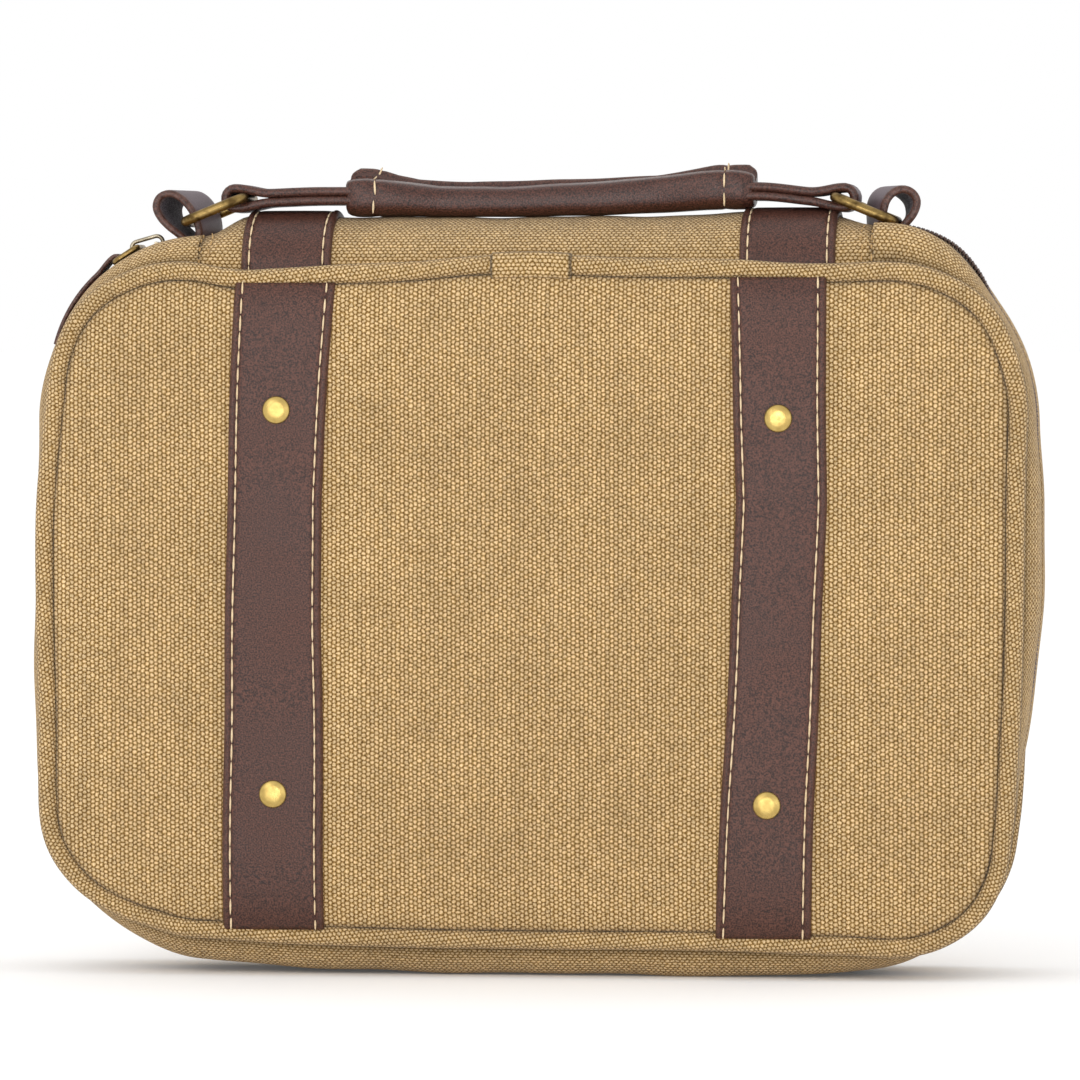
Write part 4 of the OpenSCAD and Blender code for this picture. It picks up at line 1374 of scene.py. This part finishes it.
# The wrapped grip, drawn in at both ends and pinched where thread is bound round it
def makeGrip():
    rows, marks = [], []
    even = np.arange(grip["start"], grip["end"] + 0.01, grip["step"])[1:-1]
    closeToEnd = np.array([0.0, 0.3, 0.7])
    stations = np.concatenate([grip["start"] + closeToEnd, even, grip["end"] - closeToEnd[::-1]])
    for x in stations:
        section, mark = gripSection(x)
        end = min(x - grip["start"], grip["end"] - x) / grip["round"]
        draw = 1 - 0.24 * shoulder(end)
        centre = np.array([0.0, section[:, 1].mean() - 0.4])
        section = centre + (section - centre) * draw
        crease = 0.35 * sum(bell(x, t, 0.9) for t in grip["threads"])
        section = centre + (section - centre) * (1 - crease / 9)
        wave = 0.1 * math.sin(x / 7 + 1) + 0.07 * math.sin(x / 3.3)
        rows.append([(x, y, z + wave) for y, z in section])
        marks.append(mark)
    # Each end is drawn in to a point, so that its face shades evenly
    for at in (0, -1):
        rim = np.array(rows[at])
        middle = rim.mean(axis=0)
        inner = [middle + (rim - middle) * k for k in (0.7, 0.35, 0.02)]
        dull = [[0.0] * len(rim)] * 3
        rows, marks = (inner[::-1] + rows, dull + marks) if at == 0 else (rows + inner, marks + dull)
    shape = Shape()
    shape.surface(rows, wear_and_shade=marks)
    shape.done("grip_leather", "handle", ["grip"], ["grip_wrap", "grip_core"])
    lines = []
    for index, x in enumerate(grip["threads"]):
        section, _ = gripSection(x)
        for part in (slice(8, 24), slice(-24, -16)):
            line = section[part]
            out = leftOf(line)
            sway = 0.5 * np.sin(np.arange(len(line)) / 3.0) * (1 - index)
            points = [(x + d, y + o[0] * 0.1, z + o[1] * 0.1) for (y, z), o, d in zip(line, out, sway)]
            lines.append((points, [(0.0, o[0], o[1]) for o in out]))
    copy = stitchCopy(grip["threadLength"])
    rowPiece(
        "grip_threads", lines, copy, grip["threadPitch"], "thread", "handle", jitter=0.05, seed=61,
    )


makeGrip()
print("grip made")

# Zip

coil = {
    "pitch": 1.28, "long": 3.4, "wide": 0.86, "tall": 1.35, "middle": 1.5, "channel": 8.8, "sink": 0.2,
    "show": 1.5, "bare": 38.5, "start": 5.3, "stop": 40,
}
tapeCut = {"near": 0.6, "far": 12.5, "top": 1.4, "thick": 0.5, "lowered": 3.2, "fall": 4.0}


# Height of the coil's top over the seam: in the slider's channel on its corner, at the canvas edge elsewhere
def coilTop(run):
    angle = np.mod(run["angle"], 360)
    parked = eased((angle - 112) / 8) * (1 - eased((angle - 148) / 10))
    showing = 0.3 + coil["show"] * np.exp(-(((angle - coil["bare"]) / 3.6) ** 2))
    showing = showing * (1 - eased((angle - 47) / 4)) * eased((angle - 33.5) / 2.5)
    return lerp(run["crown"] - coil["sink"] + showing, coil["channel"], parked)


# Stretch of the seam that a half's coil follows: the front one ends beside the slider
def zipRun(part):
    start = case["half"] + coil["start"]
    finish = case["length"] - start
    if part == "front":
        finish = case["length"] - case["half"] - math.radians(coil["stop"]) * case["radius"]
    return seamRun(start, finish)


def makeZip(side, body, part):
    run, coilRun = zipRun("back"), zipRun(part)
    near, far, under, thick = side * tapeCut["near"], tapeCut["far"], tapeCut["top"], tapeCut["thick"]
    sections = []
    # Past the slider the front tape runs on lower down, behind the slider
    lowered = tapeCut["lowered"] * eased((run["s"] - coilRun["s"][-1]) / tapeCut["fall"])
    for height, crown in zip(coilTop(run) - lowered, run["crown"]):
        high, deep = height - under, min(height - under, crown - wall["thick"] + 0.05)
        upper = [(high, near), (high, 4.0), (deep, 6.0), (deep, far)]
        sections.append(upper + [(n - thick, d) for n, d in reversed(upper)])
    rows = carried(run, sections, side)
    shape = Shape()
    shape.surface(rows, uv=lengthUv(rows, sections[0]))
    shape.done(part + "_tape", body, ["tape"], [part + "_zip_tape"])
    begin = 0.6 + (0.5 * coil["pitch"] if side > 0 else 0.0)
    points = []
    for place, out, height in zip(coilRun["place"], coilRun["out"], coilTop(coilRun)):
        xz = place + out * (height - coil["tall"] / 2)
        points.append((xz[0], -side * coil["middle"], xz[1]))
    line = shifted(points, begin)
    outs = [(o[0], 0.0, o[1]) for o in coilRun["out"]]
    profile = [(0.05, -0.5), (0.42, -0.32), (0.5, 0.0), (0.42, 0.32), (0.05, 0.5)]
    copy = turned("tooth", profile, 12, (coil["wide"], coil["long"], coil["tall"]))
    replaced = [part + "_zip_coil"]
    rowPiece(
        part + "_coil", [(line, outs)], copy, coil["pitch"], "coil", body,
        jitter=0.0, seed=7, replaced=replaced,
    )


for part, (side, body) in covers.items():
    makeZip(side, body, part)
print("zip made")

# Pull tab

pull = {"eye": 1.75, "gap": 0.66, "thick": 1.25, "end": 154.0, "finish": 46.7, "bow": 0.5}


def makePull():
    low, high = boxOf("pull_tab")
    joint = next(j for j in frame["joints"] if j["name"] == "pull_tab_swing")
    bar = (joint["pos_m"][0] / mm, joint["pos_m"][2] / mm)
    corner = (-case["half"], case["high"])
    first = math.degrees(math.atan2(bar[1] - corner[1], bar[0] - corner[0]))
    reach = math.dist(bar, corner)
    shares = np.linspace(0, 1, 40)

    def at(share, off):
        angle = math.radians(lerp(first, pull["end"], share))
        radius = lerp(reach, pull["finish"], share) + pull["bow"] * math.sin(math.pi * share) + off
        return corner[0] + radius * math.cos(angle), corner[1] + radius * math.sin(angle)

    offs = [lerp(pull["eye"], pull["gap"], float(eased(t * 4.5))) for t in shares]
    upper = [at(t, off) for t, off in zip(shares, offs)][::-1]
    lower = [at(t, -off) for t, off in zip(shares, offs)]
    path = joined(upper, arcPath(bar, pull["eye"], first, first - 180, 18), lower)
    shape = Shape()
    ribbon(shape, path[::-1], pull["thick"], low[1], high[1], kinds=(2, 1, 0))
    shape.done("pull_leather", "pull_tab", ["leather", "grip", "suede"], ["pull_tab"])


makePull()
print("pull made")

# Inside

inside = {
    "inset": 9.4, "pocket": 6, "shares": (1.0, 0.992, 0.96, 0.88, 0.72, 0.52, 0.32, 0.14, 0.03),
    "ripple": 0.14,
    "wallNear": 3.5, "wallFar": 4.2, "spineInset": 3.7, "spineThick": 0.8,
    "binding": [
        (-9.3, 21.6), (-9.0, 21.3), (-6.8, 21.3), (-6.6, 21.6), (-6.8, 21.9),
        (-8.6, 22.0), (-8.7, 24.9), (-8.9, 25.2), (-9.2, 25.1), (-9.3, 24.8),
    ],
}


# A flat lining behind a face: both sides of the cloth, from the middle out to its edge and back
def makeFaceLining(side, body, name, node, inset, top=None):
    low, high = boxOf(node)
    near, far = sorted((abs(low[1]), abs(high[1])))
    rim = wholeRun["place"] - wholeRun["out"] * inset
    if top is not None:
        rim = np.stack([rim[:, 0], np.minimum(rim[:, 1], top)], axis=1)
    centre = np.array([0.0, (rim[:, 1].min() + rim[:, 1].max()) / 2])
    rows = []
    for depth, shares in ((near, inside["shares"][::-1]), (far, inside["shares"])):
        for share in shares:
            xz = centre + (rim - centre) * share
            lift = inside["ripple"] * np.sin(xz[:, 0] / 11) * np.sin(xz[:, 1] / 13) * (1 - share**4)
            rows.append(np.stack([xz[:, 0], -side * (depth + lift), xz[:, 1]], axis=1))
    shape = Shape()
    shape.surface(rows)
    return shape.done(name, body, ["lining"], [node])


def makeWallLining(side, body, part):
    edge = case["half"] + 3.5
    run = seamRun(edge, case["length"] - edge)
    sections = []
    for crown, stray in zip(run["crown"], run["stray"]):
        outer, _ = wallSection(crown, stray)
        inward = leftOf(outer)
        near, far = (outer + inward * inside[depth] for depth in ("wallNear", "wallFar"))
        sections.append(np.concatenate([near[3:-3], far[3:-3][::-1]]))
    rows = carried(run, sections, side)
    shape = Shape()
    shape.surface(rows, uv=lengthUv(rows, sections[0]))
    return shape.done(part + "_side_lining", body, ["lining"], [part + "_gusset_lining"])


def makeBinding(side, body, part):
    loop = inside["binding"]
    rows = carried(wholeRun, [loop] * len(wholeRun["s"]), side)
    shape = Shape()
    shape.surface(rows, loop=True, uv=lengthUv(rows, loop, shut=True))
    shape.done(part + "_edge_binding", body, ["lining"], [part + "_binding"])


def makeSpineLining():
    low, high = boxOf("spine_lining")
    inset = inside["spineInset"]
    rows = []
    for x in np.linspace(low[0] + 0.5, high[0] - 0.5, 60):
        angles = np.linspace(-arch["leg"], arch["leg"], 29)
        outer = [archPoint(x, u, inset) for u in angles]
        inner = [archPoint(x, u, inset + inside["spineThick"]) for u in angles]
        rows.append([(x, y, z) for y, z in outer] + [(x, y, z) for y, z in reversed(inner)])
    shape = Shape()
    shape.surface(rows)
    return shape.done("spine_inside", "spine", ["lining"], ["spine_lining"])


for part, (side, body) in covers.items():
    facing = makeFaceLining(side, body, part + "_face_lining", part + "_lining", inside["inset"])
    makeWallLining(side, body, part)
    makeBinding(side, body, part)
pocketTop = boxOf("back_pocket")[1][2]
pocketInset = inside["inset"] + inside["pocket"]
pocket = makeFaceLining(-1, "back_cover", "pocket_cloth", "back_pocket", pocketInset, pocketTop)
makeSpineLining()
print("inside made")

# Finishes of the solids that stay

finishes = {
    "ring_left": "antique", "ring_right": "antique", "pull_ring": "antique",
    "pull_bail": "zipMetal", "zip_slider": "zipMetal",
    "back_zip_stops": "zipMetal", "front_zip_stops": "zipMetal",
    "back_board": "board", "front_board": "board", "spine_board": "board",
}
for node, finish in finishes.items():
    solid = frame["nodes"][node]
    solid.data.materials.clear()
    solid.data.materials.append(look[finish])
print("finishes given")

# Camera and stage

# View is the width seen at the aim, lift the glow of the floor, and floor half its width in metres
studio = {
    "aim": (2.45, -27.0, 119.7), "azimuth": 6.0, "elevation": 1.7, "distance": 2000.0, "view": 293.8,
    "lift": 0.05, "floor": 40.0, "sensor": 36,
}


# One where the camera, a mirror or glass looks at the material, and zero for its light on other things
def seenDirectly(graph):
    paths = graph.node("ShaderNodeLightPath", (-4, 0))
    seen = graph.maths("ADD", paths.outputs["Is Camera Ray"], paths.outputs["Is Glossy Ray"])
    return graph.maths("ADD", seen, paths.outputs["Is Transmission Ray"], clamp=True)


def makeStage():
    camera = added("camera", bpy.data.cameras.new("camera"))
    azimuth, elevation = math.radians(studio["azimuth"]), math.radians(studio["elevation"])
    level = math.cos(elevation)
    back = Vector((math.sin(azimuth) * level, -math.cos(azimuth) * level, math.sin(elevation)))
    camera.location = (Vector(studio["aim"]) + back * studio["distance"]) * mm
    camera.rotation_mode = "QUATERNION"
    camera.rotation_quaternion = (-back).to_track_quat("-Z", "Y")
    camera.data.sensor_width = studio["sensor"]
    camera.data.lens = studio["sensor"] * studio["distance"] / studio["view"]
    bpy.context.scene.camera = camera

    mesh = bpy.data.meshes.new("floor")
    reach = studio["floor"]
    mesh.from_pydata(
        [(-reach, -reach, 0), (reach, -reach, 0), (reach, reach, 0), (-reach, reach, 0)], [], [(0, 1, 2, 3)],
    )
    floor = added("floor", mesh)
    material, graph, shader = newMaterial("floor")
    shader.inputs["Base Color"].default_value = (1, 1, 1, 1)
    shader.inputs["Roughness"].default_value = 0.9
    shader.inputs["Specular IOR Level"].default_value = 0.0
    shader.inputs["Emission Color"].default_value = (1, 1, 1, 1)
    graph.feed(
        shader.inputs["Emission Strength"], graph.span(seenDirectly(graph), 0.0, 1.0, 0.0, studio["lift"]),
    )
    mesh.materials.append(material)

    # Name, place and width in metres, and power in watts
    lamps = [
        ("key", (-0.9, -1.6, 1.1), 1.3, 6.5),
        ("fill", (1.3, -1.6, 0.4), 1.4, 3.3),
        ("low", (-0.1, -1.9, 0.1), 0.9, 9.0),
        ("top", (0.1, 0.1, 1.7), 1.2, 1.0),
    ]
    for name, place, size, power in lamps:
        light = added(name, bpy.data.lights.new(name, "AREA"))
        light.data.shape = "DISK"
        light.data.size = size
        light.data.energy = power
        light.location = place
        light.rotation_mode = "QUATERNION"
        light.rotation_quaternion = (Vector((0, 0, 0.1)) - Vector(place)).to_track_quat("-Z", "Y")

    world = bpy.data.worlds.new("studio")
    world.use_nodes = True
    bpy.context.scene.world = world
    backdrop = world.node_tree.nodes["Background"]
    backdrop.inputs["Color"].default_value = (1, 1, 1, 1)
    backdrop.inputs["Strength"].default_value = 1.0
    bpy.context.scene.view_settings.view_transform = "Standard"


makeStage()
